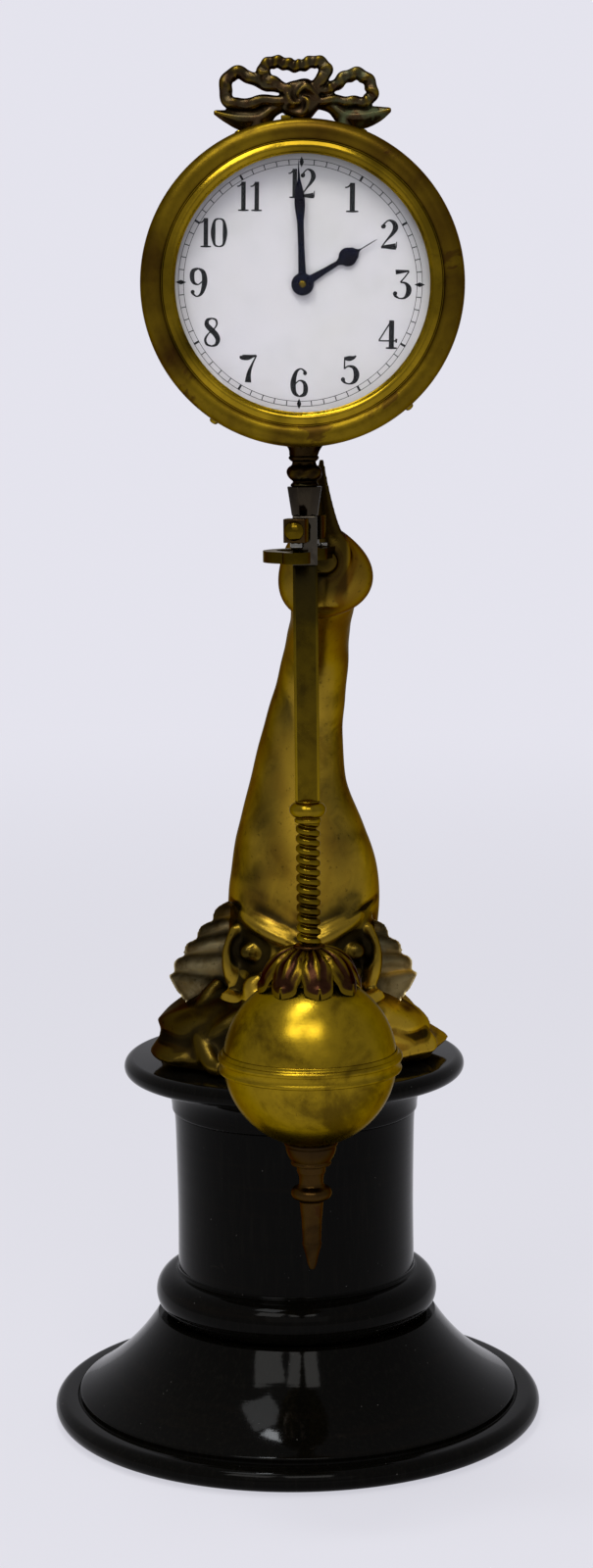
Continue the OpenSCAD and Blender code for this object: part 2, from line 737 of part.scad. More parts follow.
// A ribbon follows stations of place across, height and width, with a crowned section
module ribbon(stations, thick, n, back) {
    path = resample(stations, n);
    flat = [for (s = path) [s[0] * crest_w / 2, s[1] * crest_h]];
    skin([for (i = [0:n])
        let (way = bend(flat, i), out = [way[1], -way[0]], w = path[i][2] / 2, t = thick / 2)
        [for (p = [[1, -0.3], [0.9, 0.35], [0.45, 1], [-0.45, 1], [-0.9, 0.35], [-1, -0.3]])
            [flat[i][0] + w * p[0] * out[0], back - t * p[1], flat[i][1] + w * p[0] * out[1]]]]);
}

module crest_bow() {
    left_loop = [[-0.13, 0.35, 2], [-0.34, 0.37, 2.4], [-0.55, 0.33, 2.7], [-0.74, 0.32, 2.7],
        [-0.835, 0.45, 2.7], [-0.82, 0.64, 2.7], [-0.73, 0.75, 2.7], [-0.6, 0.71, 2.6],
        [-0.46, 0.62, 2.5], [-0.31, 0.56, 2.3], [-0.12, 0.5, 2]];
    right_loop = [[0.13, 0.5, 2], [0.29, 0.5, 2.2], [0.39, 0.57, 2.4], [0.51, 0.68, 2.6], [0.65, 0.715, 2.6],
        [0.76, 0.62, 2.6], [0.8, 0.46, 2.6], [0.73, 0.34, 2.5], [0.56, 0.34, 2.3], [0.36, 0.36, 2.2],
        [0.13, 0.34, 2]];
    top = [[-0.11, 0.49, 2.4], [-0.29, 0.6, 2.5], [-0.4, 0.71, 2.6], [-0.4, 0.82, 2.6], [-0.3, 0.885, 2.6],
        [-0.18, 0.865, 2.6], [-0.06, 0.83, 2.5], [0.04, 0.845, 2.5], [0.16, 0.885, 2.6],
        [0.265, 0.83, 2.7], [0.27, 0.7, 2.7], [0.1, 0.49, 2.4]];
    left_tail = [[-0.1, 0.34, 2], [-0.31, 0.25, 3], [-0.45, 0.13, 4.2], [-0.64, 0.115, 4.4],
        [-0.81, 0.16, 2.8], [-0.97, 0.224, 0.8]];
    right_tail = [[0.1, 0.34, 2], [0.34, 0.28, 2.6], [0.51, 0.14, 4.4], [0.68, 0.13, 4.6],
        [0.86, 0.175, 3.2], [1.01, 0.235, 0.8]];
    color(bronze) difference() {
        at_pivot() translate([0, crest_y, crest_z]) {
            ribbon(left_loop, 4.2, 15, 0);
            ribbon(right_loop, 4.4, 15, 0.05);
            ribbon(left_tail, 3.4, 8, 0.6);
            ribbon(right_tail, 3.6, 8, 0.65);
            ribbon(top, 3.9, 22, -0.6);
            for (way = [0, 1]) mirror([way, 0, 0])
                translate([lug_x, -1.2, -lug_h]) cube([3.4, 2.4, lug_h + 0.1 * crest_h]);
            translate([0, 0, 0.38 * crest_h]) rotate([90, 0, 0]) rotate_extrude()
                polygon(concat([[0, -knot_t], [0.7 * knot_r, -knot_t]], arc([0, 0], knot_r, -30, 45, 6),
                    [[0.4 * knot_r, knot_t], [0, 0.8 * knot_t]]));
        }
        at_dial(cover_f - 1) cylinder(r = case_r, h = dial_f - cover_f + 2, $fn = 144);
    }
}

module crest_stud() {
    color(bronze) difference() {
        at_pivot() translate([-4.6, crest_y - 1.2, crest_z - lug_h]) cube([2.4, 2.4, lug_h + 2.8]);
        at_dial(cover_f - 1) cylinder(r = case_r, h = dial_f - cover_f + 2, $fn = 144);
    }
}

// Pendulum under the pivot
module pendulum_rod() {
    h = bead_drop - carrier_drop;
    x = rod_w / 2;
    y = rod_t / 2;
    c = rod_chamfer;
    color(brass) at_pivot() translate([0, 0, -bead_drop]) linear_extrude(h)
        polygon([[x - c, -y], [x, c - y], [x, y - c], [x - c, y],
            [c - x, y], [-x, y - c], [-x, c - y], [c - x, -y]]);
}

twist_top = -bead_drop - 5.4;
twist_z = twist_top - twist_h;

module rod_bead() {
    profile = concat([[0, -bead_drop], [3.2, -bead_drop], [3.2, -bead_drop - 0.6]],
        arc([2.6, -bead_drop - 2.3], 1.85, 62, -62, 8),
        [[3.2, -bead_drop - 4.2], [3.2, twist_top], [0, twist_top]]);
    color(brass) at_pivot() rotate_extrude() polygon(profile);
}

// The cup under the ball, and the finial under the cup, measured from the ball's centre
cup_r = 6.4;
cup_h = 6;
cup_top = -sqrt(pow(bob_r, 2) - pow(cup_r, 2));
finial_top = cup_top - cup_h - 0.1;

// The ball's top collar hangs a gap below the twist, and the finial closes round the tail
tail_end = bob_drop - finial_top + 0.5 * finial_h;

module twist_rod() {
    turns = twist_h / twist_pitch;
    steps = round(8 * turns);
    color(brass) at_pivot() {
        skin([for (i = [0:steps]) let (a = 360 * turns * i / steps)
            [for (j = [0:8]) let (r = twist_r * (0.93 + 0.07 * cos(40 * j + a)))
                [r * cos(40 * j), -r * sin(40 * j), twist_z + twist_h * i / steps]]]);
        translate([0, 0, -tail_end]) cylinder(r = tail_r, h = tail_end + twist_z);
    }
}

// Ball
slide_r = tail_r + slide_gap;
collar_top = bob_drop + twist_z - gap;
collar_h = 3;
leaf_root = collar_r - 0.7;
leaf_sides = 48;
leaf_rows = 4;

function leaf_edge(a) = 1 - 0.16 * pow(abs(sin(leaf_n * a / 2)), 2) + 0.03 * cos(5 * leaf_n * a / 2);
function leaf_point(row, a, out) =
    let (r = mix(leaf_root, leaf_r * leaf_edge(a), row / leaf_rows), rib = 0.5 + 0.5 * cos(leaf_n * a))
    let (thick = leaf_t * (mix(1, 0.32, row / leaf_rows) + 0.32 * rib * sin(180 * row / leaf_rows)))
    let (skin_r = bob_r + 0.06 + out * thick)
    let (z = sqrt(pow(bob_r, 2) - pow(r, 2)) / bob_r)
    [skin_r * r / bob_r * cos(a), skin_r * r / bob_r * sin(a), skin_r * z];

module leaf_cap() {
    angles = [for (j = [0:leaf_sides - 1]) 360 * j / leaf_sides];
    rows = concat([for (row = [0:leaf_rows]) [for (a = angles) leaf_point(row, a, 1)]],
        [for (row = [leaf_rows:-1:0]) [for (a = angles) leaf_point(row, a, 0)]]);
    color(copper) at_bob() difference() {
        union() {
            skin(rows);
            translate([0, 0, bob_r])
                cylinder(r1 = collar_r - 0.2, r2 = collar_r - 0.8, h = collar_top - bob_r - collar_h);
            translate([0, 0, collar_top - collar_h]) cylinder(r = collar_r, h = collar_h);
        }
        cylinder(r = leaf_root, h = bob_r + tiny);
        cylinder(r = slide_r, h = 3 * bob_r);
    }
}

module half_ball(way) {
    color(brass) at_bob() difference() {
        sphere(r = bob_r, $fn = 96);
        sphere(r = bob_r - bob_wall, $fn = 96);
        cylinder(r = slide_r, h = 3 * bob_r, center = true);
        translate([0, 0, -way * bob_r]) cube([4 * bob_r, 4 * bob_r, 2 * bob_r], center = true);
    }
}

module bob_upper() {
    half_ball(1);
}

module bob_lower() {
    half_ball(-1);
}

module bob_band() {
    out = bob_r + band_out;
    h = band_h / 2;
    profile = concat(
        [[bob_r, -h], [bob_r + 0.5 * band_out, -h], [out - 0.3, 0.2 - h], [out - 0.5, -0.3 * h]],
        arc([out - 0.8, 0.3 * h], 0.8, -60, 90, 6),
        [[bob_r + 0.4, h - 0.5], [bob_r + 0.4, h], [bob_r, h]]);
    color(brass) at_bob() rotate_extrude($fn = 96) polygon(profile);
}

module bob_weight() {
    inner = bob_r - bob_wall;
    color("gray") at_bob() difference() {
        sphere(r = inner, $fn = 96);
        cylinder(r = slide_r, h = 3 * bob_r, center = true);
        translate([-bob_r, -bob_r, 0.55 * inner]) cube(2 * bob_r);
    }
}

module bob_cup() {
    profile = concat([[slide_r, cup_top], [cup_r, cup_top], [cup_r + 0.2, cup_top - 0.8]],
        [for (i = [0:5]) let (t = i / 5)
            [mix(cup_r, cup_r - 1.6, t * t), mix(cup_top - 1.4, cup_top - cup_h, t)]],
        [[slide_r, cup_top - cup_h]]);
    color(brass) at_bob() difference() {
        rotate_extrude() polygon(profile);
        sphere(r = bob_r, $fn = 96);
    }
}

// The finial is the rating nut: turning it lets the ball down its threaded tail
module rating_finial() {
    tip = finial_top - finial_h;
    bead = finial_top - 7;
    bore_end = bob_drop - tail_end - gap;
    profile = concat([[0, finial_top], [3.5, finial_top], [3.5, finial_top - 2], [3, bead + 2.2]],
        arc([3.4, bead], 1.6, 80, -80, 8),
        [[3.1, bead - 2], [2.5, mix(bead, tip, 0.32)], [2.3, mix(bead, tip, 0.62)],
         [1.4, mix(bead, tip, 0.83)], [0.5, tip], [0, tip]]);
    color(brass) at_bob() difference() {
        rotate_extrude() polygon(profile);
        translate([0, 0, bore_end]) cylinder(r = slide_r, h = finial_top - bore_end + 1);
    }
}

// Movement plates and pillars
pillar_ring = case_in - 3;
pillar_angles = [60, 140, 250, 325];

module arbor_holes(f, places, r) {
    for (at = places) at_dial(f - 1, at) cylinder(r = r + run_gap, h = plate_t + 2, $fn = 24);
}

module front_plate() {
    color(brass) difference() {
        at_dial(front_plate_f) cylinder(r = case_in, h = plate_t, $fn = 144);
        arbor_holes(front_plate_f, [barrel_at, third_at, escape_at, anchor_at], arbor_r);
        arbor_holes(front_plate_f, [[0, 0]], centre_pipe_r);
        arbor_holes(front_plate_f, [motion_at], arbor_r);
    }
}

module back_plate() {
    color(brass) difference() {
        union() {
            at_dial(back_plate_f) cylinder(r = case_in - 1, h = plate_t, $fn = 144);
            arbor(back_plate_f - 0.2 - ratchet_t, back_plate_f, click_at, click_pin_r);
        }
        arbor_holes(back_plate_f, [third_at, escape_at, anchor_at], arbor_r);
        arbor_holes(back_plate_f, [[0, 0]], centre_pipe_r);
        arbor_holes(back_plate_f, [barrel_at], key_r);
    }
}

module plate_pillars() {
    color(brass) for (a = pillar_angles) at_dial(train_f, polar(pillar_ring, a))
        cylinder(r = 1.5, h = plate_gap);
}

// Toothed wheels: each tooth narrows outwards, so that wheel and pinion keep play at any phase
function toothed(n, mod, add, ded, root_w, tip_w) =
    let (r = n * mod / 2, step = 360 / n)
    [for (i = [0:n - 1]) each [
        polar(r - ded * mod, (i - root_w / 2) * step), polar(r + add * mod, (i - tip_w / 2) * step),
        polar(r + add * mod, (i + tip_w / 2) * step), polar(r - ded * mod, (i + root_w / 2) * step)]];

module wheel(n, mod, t) {
    linear_extrude(t) polygon(toothed(n, mod, 0.9, 1.3, 0.56, 0.2));
}

module pinion(n, mod, t) {
    linear_extrude(t) polygon(toothed(n, mod, 0.7, 1.2, 0.5, 0.2));
}

// Barrel and its arbor
barrel_gear_f = front_plate_f - gap - 0.8;
barrel_back_f = barrel_gear_f - 5.2;
barrel_drum_r = barrel_teeth * barrel_mod / 2 - 1.3 * barrel_mod - 0.3;
key_r = 1.7;
barrel_core_r = 3;

module mainspring_barrel() {
    color(brass) difference() {
        union() {
            at_dial(barrel_gear_f, barrel_at) rotate([0, 0, 20]) wheel(barrel_teeth, barrel_mod, 0.8);
            at_dial(barrel_back_f, barrel_at) cylinder(r = barrel_drum_r, h = barrel_gear_f - barrel_back_f);
        }
        at_dial(barrel_back_f - 1, barrel_at) cylinder(r = barrel_core_r + run_gap, h = 8);
    }
}

module barrel_arbor() {
    color(steel) {
        at_dial(barrel_back_f, barrel_at)
            cylinder(r = barrel_core_r, h = barrel_gear_f + 0.8 - barrel_back_f);
        at_dial(barrel_gear_f + 0.8, barrel_at) cylinder(r = arbor_r, h = gap + plate_t);
        at_dial(back_plate_f - 0.2, barrel_at) cylinder(r = key_r, h = barrel_back_f - back_plate_f + 0.2);
    }
}

// Ratchet and click lie between the back plate and the cover; the key turns the ratchet one way only
ratchet_teeth = 12;
ratchet_r = 6;
ratchet_root = 5;
ratchet_t = 1.2;
ratchet_f = back_plate_f - 1.4;
click_r = 1.5;
click_pin_r = 0.6;
click_at = barrel_at + polar(8.6, 45);

module ratchet_wheel() {
    color(steel) at_dial(ratchet_f, barrel_at) linear_extrude(ratchet_t)
        polygon([for (i = [0:ratchet_teeth - 1]) each [
            polar(ratchet_root, i * 360 / ratchet_teeth - 2),
            polar(ratchet_r, i * 360 / ratchet_teeth)]]);
}

// The click is a round boss with a beak that rests before the steep side of a tooth
module click() {
    beak = [for (p = [[5.25, 86.6], [6.4, 88], [7.2, 80]]) barrel_at + polar(p[0], p[1]) - click_at];
    under = barrel_at + polar(6.3, 74) - click_at;
    color(steel) at_dial(ratchet_f, click_at) linear_extrude(ratchet_t) difference() {
        union() {
            circle(r = click_r);
            polygon([beak[0], under, [0, -1.3], [0, 1.3], beak[2], beak[1]]);
        }
        circle(r = click_pin_r + run_gap);
    }
}

module winding_key() {
    stem = 8;
    bow_r = 4.2;
    bow_t = 1.6;
    color(steel) at_dial(ratchet_f - stem, barrel_at) {
        cylinder(r = key_r, h = stem);
        translate([0, 0, 1.8 - bow_r]) rotate([90, 0, 0]) difference() {
            for (way = [-1, 1]) translate([way * 3.9, 0, -bow_t / 2]) cylinder(r = bow_r, h = bow_t);
            for (way = [-1, 1]) translate([way * 4.4, 0, -bow_t]) cylinder(r = 2.4, h = 2 * bow_t);
        }
    }
}

// Going train
module arbor(f0, f1, at, r = arbor_r) {
    at_dial(f0, at) cylinder(r = r, h = f1 - f0, $fn = 24);
}

centre_pinion_f = barrel_gear_f - 0.2;
centre_wheel_f = train_f + 1.2;
third_wheel_f = front_plate_f - 2.6;
escape_wheel_f = train_f + 3.6;

// The centre wheel turns on a pipe, and the arbor in the pipe carries the minute hand, held by
// friction, so that the hands can be set while the train stands
centre_pipe_r = arbor_r + 0.2;
centre_arbor_r = arbor_r - 0.2;

module centre_wheel() {
    color(brass) difference() {
        union() {
            arbor(back_plate_f, motion_f, [0, 0], centre_pipe_r);
            at_dial(centre_pinion_f) rotate([0, 0, 20 + 180 / centre_leaves])
                pinion(centre_leaves, barrel_mod, 1.2);
            at_dial(centre_wheel_f) rotate([0, 0, third_way]) wheel(centre_teeth, train_mod, 0.7);
        }
        arbor(back_plate_f - 1, motion_f + 1, [0, 0], centre_arbor_r + run_gap);
    }
}

module centre_arbor() {
    color(steel) arbor(back_plate_f - 0.2, cannon_f, [0, 0], centre_arbor_r);
}

module third_wheel() {
    color(brass) {
        arbor(back_plate_f, motion_f, third_at);
        at_dial(centre_wheel_f - 0.2, third_at) rotate([0, 0, third_way + 180 + 180 / third_leaves])
            pinion(third_leaves, train_mod, 1.1);
        at_dial(third_wheel_f, third_at) rotate([0, 0, escape_way]) wheel(third_teeth, train_mod, 0.7);
    }
}

module escape_wheel() {
    root = escape_r - 1.3;
    step = 360 / escape_teeth;
    color(brass) {
        arbor(back_plate_f, motion_f, escape_at);
        at_dial(third_wheel_f - 0.2, escape_at) rotate([0, 0, escape_way + 180 + 180 / escape_leaves])
            pinion(escape_leaves, train_mod, 1.1);
        at_dial(escape_wheel_f, escape_at) rotate([0, 0, 48]) linear_extrude(0.5)
            polygon([for (i = [0:escape_teeth - 1]) each [polar(root, (i - 0.22) * step),
                polar(escape_r, (i + 0.04) * step), polar(escape_r, (i + 0.1) * step),
                polar(root, (i + 0.2) * step)]]);
    }
}

// The anchor spans the top of the escape wheel and its crutch drives the inner pendulum
module pallet_anchor() {
    drop = anchor_rise - escape_r * cos(45);
    wide = escape_r * sin(45);
    color(steel) {
        arbor(back_plate_f - 1.6, motion_f, anchor_at);
        at_dial(escape_wheel_f, anchor_at) linear_extrude(0.5) for (way = [-1, 1]) {
            polygon([[0, 1.3], [way * (wide + 0.5), 1.3 - drop], [way * (wide + 0.15), 0.3 - drop],
                [way * (wide - 0.15), 1 - drop], [0, -1]]);
        }
    }
}

module inner_pendulum() {
    length = 14;
    color(brass) {
        at_dial(back_plate_f - 1.6, anchor_at) difference() {
            linear_extrude(0.8) union() {
                circle(r = 2);
                translate([-0.6, -length]) square([1.2, length]);
                translate([0, -length]) circle(r = 4.5);
            }
            translate([0, 0, -1]) cylinder(r = arbor_r, h = 3, $fn = 24);
        }
    }
}

// Motion work under the dial
pipe_r = 1.9;
cannon_r = 1.3;
cannon_f = motion_f + gap;
hour_f = cannon_f + 1.1;
hour_hand_f = hands_f + 0.9;
minute_hand_f = hour_hand_f + hand_t + 0.8;

module cannon_pinion() {
    color(steel) {
        at_dial(cannon_f) rotate([0, 0, motion_way]) pinion(cannon_teeth, motion_mod, 0.8);
        arbor(cannon_f, minute_hand_f, [0, 0], cannon_r);
    }
}

module minute_wheel() {
    color(brass) {
        arbor(front_plate_f, hour_f + 0.8, motion_at);
        at_dial(cannon_f + 0.1, motion_at) rotate([0, 0, motion_way + 180 + 180 / minute_teeth])
            wheel(minute_teeth, motion_mod, 0.6);
        at_dial(hour_f, motion_at) rotate([0, 0, motion_way + 180 + 180 / minute_leaves])
            pinion(minute_leaves, hour_mod, 0.8);
    }
}

module hour_wheel() {
    color(brass) difference() {
        union() {
            at_dial(hour_f + 0.1) rotate([0, 0, motion_way]) wheel(hour_teeth, hour_mod, 0.6);
            arbor(hour_f + 0.1, hour_hand_f, [0, 0], pipe_r);
        }
        arbor(hour_f - 1, hour_hand_f + 1, [0, 0], cannon_r + run_gap);
    }
}

// Hands, each one outline from its round boss to a needle point
module hand(length, half, swell_at, swell, boss_r, hole_r) {
    lean = asin(half / boss_r);
    linear_extrude(hand_t) difference() {
        polygon(concat(arc([0, 0], boss_r, 90 + lean, 450 - lean, 30),
            [[0.8 * half, 0.5 * swell_at], [0.7 * half, 0.8 * swell_at], [swell, swell_at],
             [0.5 * half, 1.22 * swell_at], [0.15, length], [-0.15, length], [-0.5 * half, 1.22 * swell_at],
             [-swell, swell_at], [-0.7 * half, 0.8 * swell_at], [-0.8 * half, 0.5 * swell_at]]));
        circle(r = hole_r);
    }
}

module hour_hand() {
    color(black) at_dial(hour_hand_f) rotate([0, 0, -hour_deg]) {
        hand(hour_len, 0.9, 0.6 * hour_len, 1, 2.6, cannon_r + run_gap);
        translate([0, 0.61 * hour_len]) cylinder(r = 2.1, h = hand_t);
    }
}

module minute_hand() {
    color(black) at_dial(minute_hand_f) rotate([0, 0, -minute_deg])
        hand(minute_len, 0.8, 0.67 * minute_len, 1.15, 2.3, 0.5);
}

module hand_nut() {
    color(brass) {
        at_dial(minute_hand_f) cylinder(r = 0.5, h = hand_t);
        at_dial(minute_hand_f + hand_t) cylinder(r1 = 0.9, r2 = 0.6, h = 0.7);
    }
}

module set_knob() {
    color(brass) {
        arbor(cover_f - 2.2, back_plate_f - 0.2, [0, 0], 1.2);
        at_dial(cover_f - 4.6) cylinder(r = 3.2, h = 2.4);
    }
}

base_baize();
base_foot();
base_column();
base_cap();
figure_bolt();
figure_nut();
wave_mount();
dolphin_body();
fin_left();
fin_right();
tail_fluke();
support_hook();
hook_screws();
case_band();
bezel();
glass();
dial();
back_cover();
crest_bow();
crest_stud();
case_screws();
neck();
ferrule();
carrier();
cross_bar();
pivot_blocks();
pivot_pins();
block_screws();
pendulum_rod();
rod_bead();
twist_rod();
front_plate();
back_plate();
plate_pillars();
leaf_cap();
bob_upper();
bob_lower();
bob_band();
bob_weight();
bob_cup();
rating_finial();
mainspring_barrel();
barrel_arbor();
ratchet_wheel();
click();
winding_key();
centre_wheel();
centre_arbor();
cannon_pinion();
minute_wheel();
hour_wheel();
third_wheel();
escape_wheel();
pallet_anchor();
inner_pendulum();
minute_hand();
hour_hand();
hand_nut();
set_knob();
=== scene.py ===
"""Swinging mantel clock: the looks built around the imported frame. Metres, Z up, the dial faces -Y."""

import math

import bmesh
import bpy
import numpy as np
from mathutils import Matrix, Vector


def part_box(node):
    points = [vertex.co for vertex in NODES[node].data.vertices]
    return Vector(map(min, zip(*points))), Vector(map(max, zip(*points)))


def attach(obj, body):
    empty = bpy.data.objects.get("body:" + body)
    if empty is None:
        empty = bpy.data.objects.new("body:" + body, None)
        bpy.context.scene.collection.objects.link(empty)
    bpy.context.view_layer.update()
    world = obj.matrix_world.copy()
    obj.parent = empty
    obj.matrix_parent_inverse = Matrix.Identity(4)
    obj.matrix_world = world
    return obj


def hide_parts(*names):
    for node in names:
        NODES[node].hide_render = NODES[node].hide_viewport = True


bl_info = {
    "name": "Swinging Mantel Clock",
    "version": (1, 0, 0),
    "blender": (4, 5, 0),
    "location": "3D Viewport > Sidebar > Clock",
    "description": "Turned base, gilt dolphin and swinging clock head with their finishes",
    "category": "Add Mesh",
}

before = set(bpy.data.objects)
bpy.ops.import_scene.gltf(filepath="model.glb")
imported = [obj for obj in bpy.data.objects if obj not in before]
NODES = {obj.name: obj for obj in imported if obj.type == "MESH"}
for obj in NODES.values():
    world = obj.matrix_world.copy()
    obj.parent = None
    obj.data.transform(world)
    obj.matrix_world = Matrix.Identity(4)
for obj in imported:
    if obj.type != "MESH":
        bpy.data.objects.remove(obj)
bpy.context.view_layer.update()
MM = 0.001


def box_mm(node):
    """Lowest and highest corner of a CAD node in millimetres."""
    low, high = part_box(node)
    return np.array(low) / MM, np.array(high) / MM


# Places in millimetres, read from the frame
BASE_TOP = box_mm("base_cap")[1][2]
BALL_LOW, BALL_HIGH = box_mm("bob_upper")
BALL_R = (BALL_HIGH[0] - BALL_LOW[0]) / 2
SIDE = (BALL_HIGH[0] + BALL_LOW[0]) / 2
REACH = -(BALL_HIGH[1] + BALL_LOW[1]) / 2
BALL_Z = BALL_LOW[2]
DRUM_LOW, DRUM_HIGH = box_mm("case_band")
DRUM_R = (DRUM_HIGH[0] - DRUM_LOW[0]) / 2
HEAD_Z = (DRUM_HIGH[2] + DRUM_LOW[2]) / 2
PIVOT_Z = box_mm("carrier")[0][2] + 2.6
BOW_Y = -0.25


# ---------------------------------------------------------------- sizes and colours


class ClockSizes(bpy.types.PropertyGroup):
    """Sizes that the looks add to the frame."""

    turned_sides: bpy.props.IntProperty(name="Turned sides", description="Sides of each turned piece", default=160, min=48, max=256)
    edge_soft: bpy.props.FloatProperty(name="Edge softness", description="Radius on the edges of the filed metal pieces", default=0.00025, unit="LENGTH")
    twist_depth: bpy.props.FloatProperty(name="Twist depth", description="Depth of the groove between the turns of the twisted rod", default=0.00092, unit="LENGTH")
    twist_pitch: bpy.props.FloatProperty(name="Twist pitch", description="Height of one turn of the twisted rod", default=0.0024, unit="LENGTH")
    leaf_count: bpy.props.IntProperty(name="Leaves", description="Leaves on the cap of the ball", default=8, min=5, max=12)
    numeral_height: bpy.props.FloatProperty(name="Numeral height", description="Height of the numerals on the dial", default=0.0066, unit="LENGTH")
    numeral_ring: bpy.props.FloatProperty(name="Numeral ring", description="Radius of the ring on which the numerals stand", default=0.0234, unit="LENGTH")
    print_lean: bpy.props.FloatProperty(name="Print lean", description="Degrees by which the print on the dial is turned clockwise", default=1.2)
    track_outer: bpy.props.FloatProperty(name="Track radius", description="Outer radius of the minute track", default=0.0283, unit="LENGTH")
    track_width: bpy.props.FloatProperty(name="Track width", description="Width of the minute track", default=0.0012, unit="LENGTH")
    carve_voxel: bpy.props.FloatProperty(name="Carving detail", description="Smallest detail of the cast figure", default=0.00052, unit="LENGTH")


def colour(name, text, value):
    """A colour property with its default given as the eye sees it."""
    return bpy.props.FloatVectorProperty(name=name, description=text, subtype="COLOR", size=3, min=0, max=1,
                                         default=tuple(linear(v) for v in value))


def linear(v):
    """One channel, 0 to 255 as seen, turned into its linear value."""
    v = v / 255
    return v / 12.92 if v <= 0.04045 else ((v + 0.055) / 1.055) ** 2.4


class ClockFinishes(bpy.types.PropertyGroup):
    """Colours of the finishes."""

    brass: colour("Brass", "Clean brass on the ball and the bezel", (150, 123, 25))
    brass_dull: colour("Dull brass", "Brass under a brown film", (88, 69, 16))
    stain: colour("Stain", "Red-brown stains on the brass", (50, 24, 14))
    gilt: colour("Gilt", "Gilding on the raised parts of the figure", (143, 116, 34))
    gilt_deep: colour("Gilt hollows", "Dark film in the hollows of the figure", (24, 19, 9))
    bronze: colour("Bronze", "Dark bronze of the bow and the neck", (66, 50, 27))
    patina: colour("Patina", "Green bloom on the bronze", (84, 90, 64))
    copper: colour("Copper brown", "Leaves on the ball", (88, 54, 36))
    steel: colour("Steel", "Steel of the suspension", (132, 130, 124))
    wood: colour("Black wood", "Ebonised wood of the base", (8, 7, 5))
    enamel: colour("Enamel", "Enamel of the dial", (206, 203, 209))
    ink: colour("Ink", "Numerals and minute track", (12, 12, 14))
    blued: colour("Blued steel", "Hands", (18, 22, 40))
    felt: colour("Felt", "Felt under the foot", (30, 44, 30))


def sizes():
    return bpy.context.scene.clock_sizes


def finishes():
    return bpy.context.scene.clock_finishes


# ---------------------------------------------------------------- curves and meshes


def through(stations, t):
    """A smooth curve through the stations, where t counts the stations."""
    p = np.asarray(stations, float)
    t = np.atleast_1d(np.asarray(t, float))
    i = np.minimum(np.floor(t).astype(int), len(p) - 2)
    u = (t - i)[:, None]
    a, b = p[np.maximum(i - 1, 0)], p[i]
    c, d = p[i + 1], p[np.minimum(i + 2, len(p) - 1)]
    return 0.5 * (2 * b + (c - a) * u + (2 * a - 5 * b + 4 * c - d) * u * u + (3 * b - a - 3 * c + d) * u ** 3)


def resample(stations, n):
    return through(stations, np.linspace(0, len(stations) - 1, n + 1))


def arc(centre, radius, start, stop, n):
    """Points on an arc, with its angles in degrees."""
    a = np.radians(np.linspace(start, stop, n + 1))
    return [(centre[0] + radius * math.cos(v), centre[1] + radius * math.sin(v)) for v in a]


def rounded(profile, radius, steps=4):
    """A profile with its inner corners rounded."""
    out = [tuple(profile[0])]
    for before, at, after in zip(profile, profile[1:], profile[2:]):
        a, p, b = np.array(before, float), np.array(at, float), np.array(after, float)
        la, lb = np.linalg.norm(a - p), np.linalg.norm(b - p)
        if la < 1e-9 or lb < 1e-9:
            continue
        turn = math.acos(max(-1, min(1, float(np.dot(p - a, b - p) / (la * lb)))))
        cut = min(radius, 0.45 * la, 0.45 * lb)
        if turn < math.radians(18) or cut < 0.02:
            out.append(tuple(p))
            continue
        start, stop = p + (a - p) / la * cut, p + (b - p) / lb * cut
        for k in range(steps + 1):
            u = k / steps
            out.append(tuple((1 - u) ** 2 * start + 2 * u * (1 - u) * p + u * u * stop))
    out.append(tuple(profile[-1]))
    return out


def ring_faces(rings, sides, closed_start=True, closed_end=True, loop=False):
    """Faces over rings of equal length."""
    faces = []
    last = rings if loop else rings - 1
    for i in range(last):
        a, b = i * sides, ((i + 1) % rings) * sides
        faces += [(a + j, a + (j + 1) % sides, b + (j + 1) % sides, b + j) for j in range(sides)]
    if not loop and closed_start:
        faces.append(tuple(range(sides))[::-1])
    if not loop and closed_end:
        faces.append(tuple(range((rings - 1) * sides, rings * sides)))
    return faces


def to_mesh(name, points, faces):
    """A mesh from points in millimetres, with doubles merged and faces outwards."""
    mesh = bpy.data.meshes.new(name)
    mesh.from_pydata([tuple(p) for p in np.asarray(points, float) * MM], [], faces)
    b = bmesh.new()
    b.from_mesh(mesh)
    bmesh.ops.remove_doubles(b, verts=b.verts, dist=1e-7)
    bmesh.ops.dissolve_degenerate(b, dist=1e-8, edges=b.edges)
    bmesh.ops.recalc_face_normals(b, faces=b.faces)
    b.to_mesh(mesh)
    b.free()
    return mesh


def to_object(name, mesh):
    obj = bpy.data.objects.new(name, mesh)
    bpy.context.scene.collection.objects.link(obj)
    return obj


def lathe_points(profile, sides):
    """Points and faces of a profile of radius and height turned round the Z axis."""
    a = np.linspace(0, 2 * np.pi, sides, endpoint=False)
    rings = [np.stack([r * np.cos(a), r * np.sin(a), np.full(sides, z)], 1) for r, z in profile]
    solid = profile[0][0] == 0 and profile[-1][0] == 0
    return np.concatenate(rings), ring_faces(len(rings), sides, False, False, not solid)


def on_pendulum(points, z=0.0):
    """From the pendulum's own frame, with its origin at the pivot, to the part's frame."""
    return np.asarray(points, float) + np.array([SIDE, -REACH, PIVOT_Z + z])


def on_dial(points):
    """From the dial's plane, with x to the right, y up and z towards the viewer, to the part's frame."""
    p = np.asarray(points, float)
    return np.stack([SIDE + p[:, 0], -REACH - p[:, 2], HEAD_Z + p[:, 1]], 1)


def smooth_by(mesh, degrees):
    mesh.shade_smooth()
    mesh.set_sharp_from_angle(angle=math.radians(degrees))


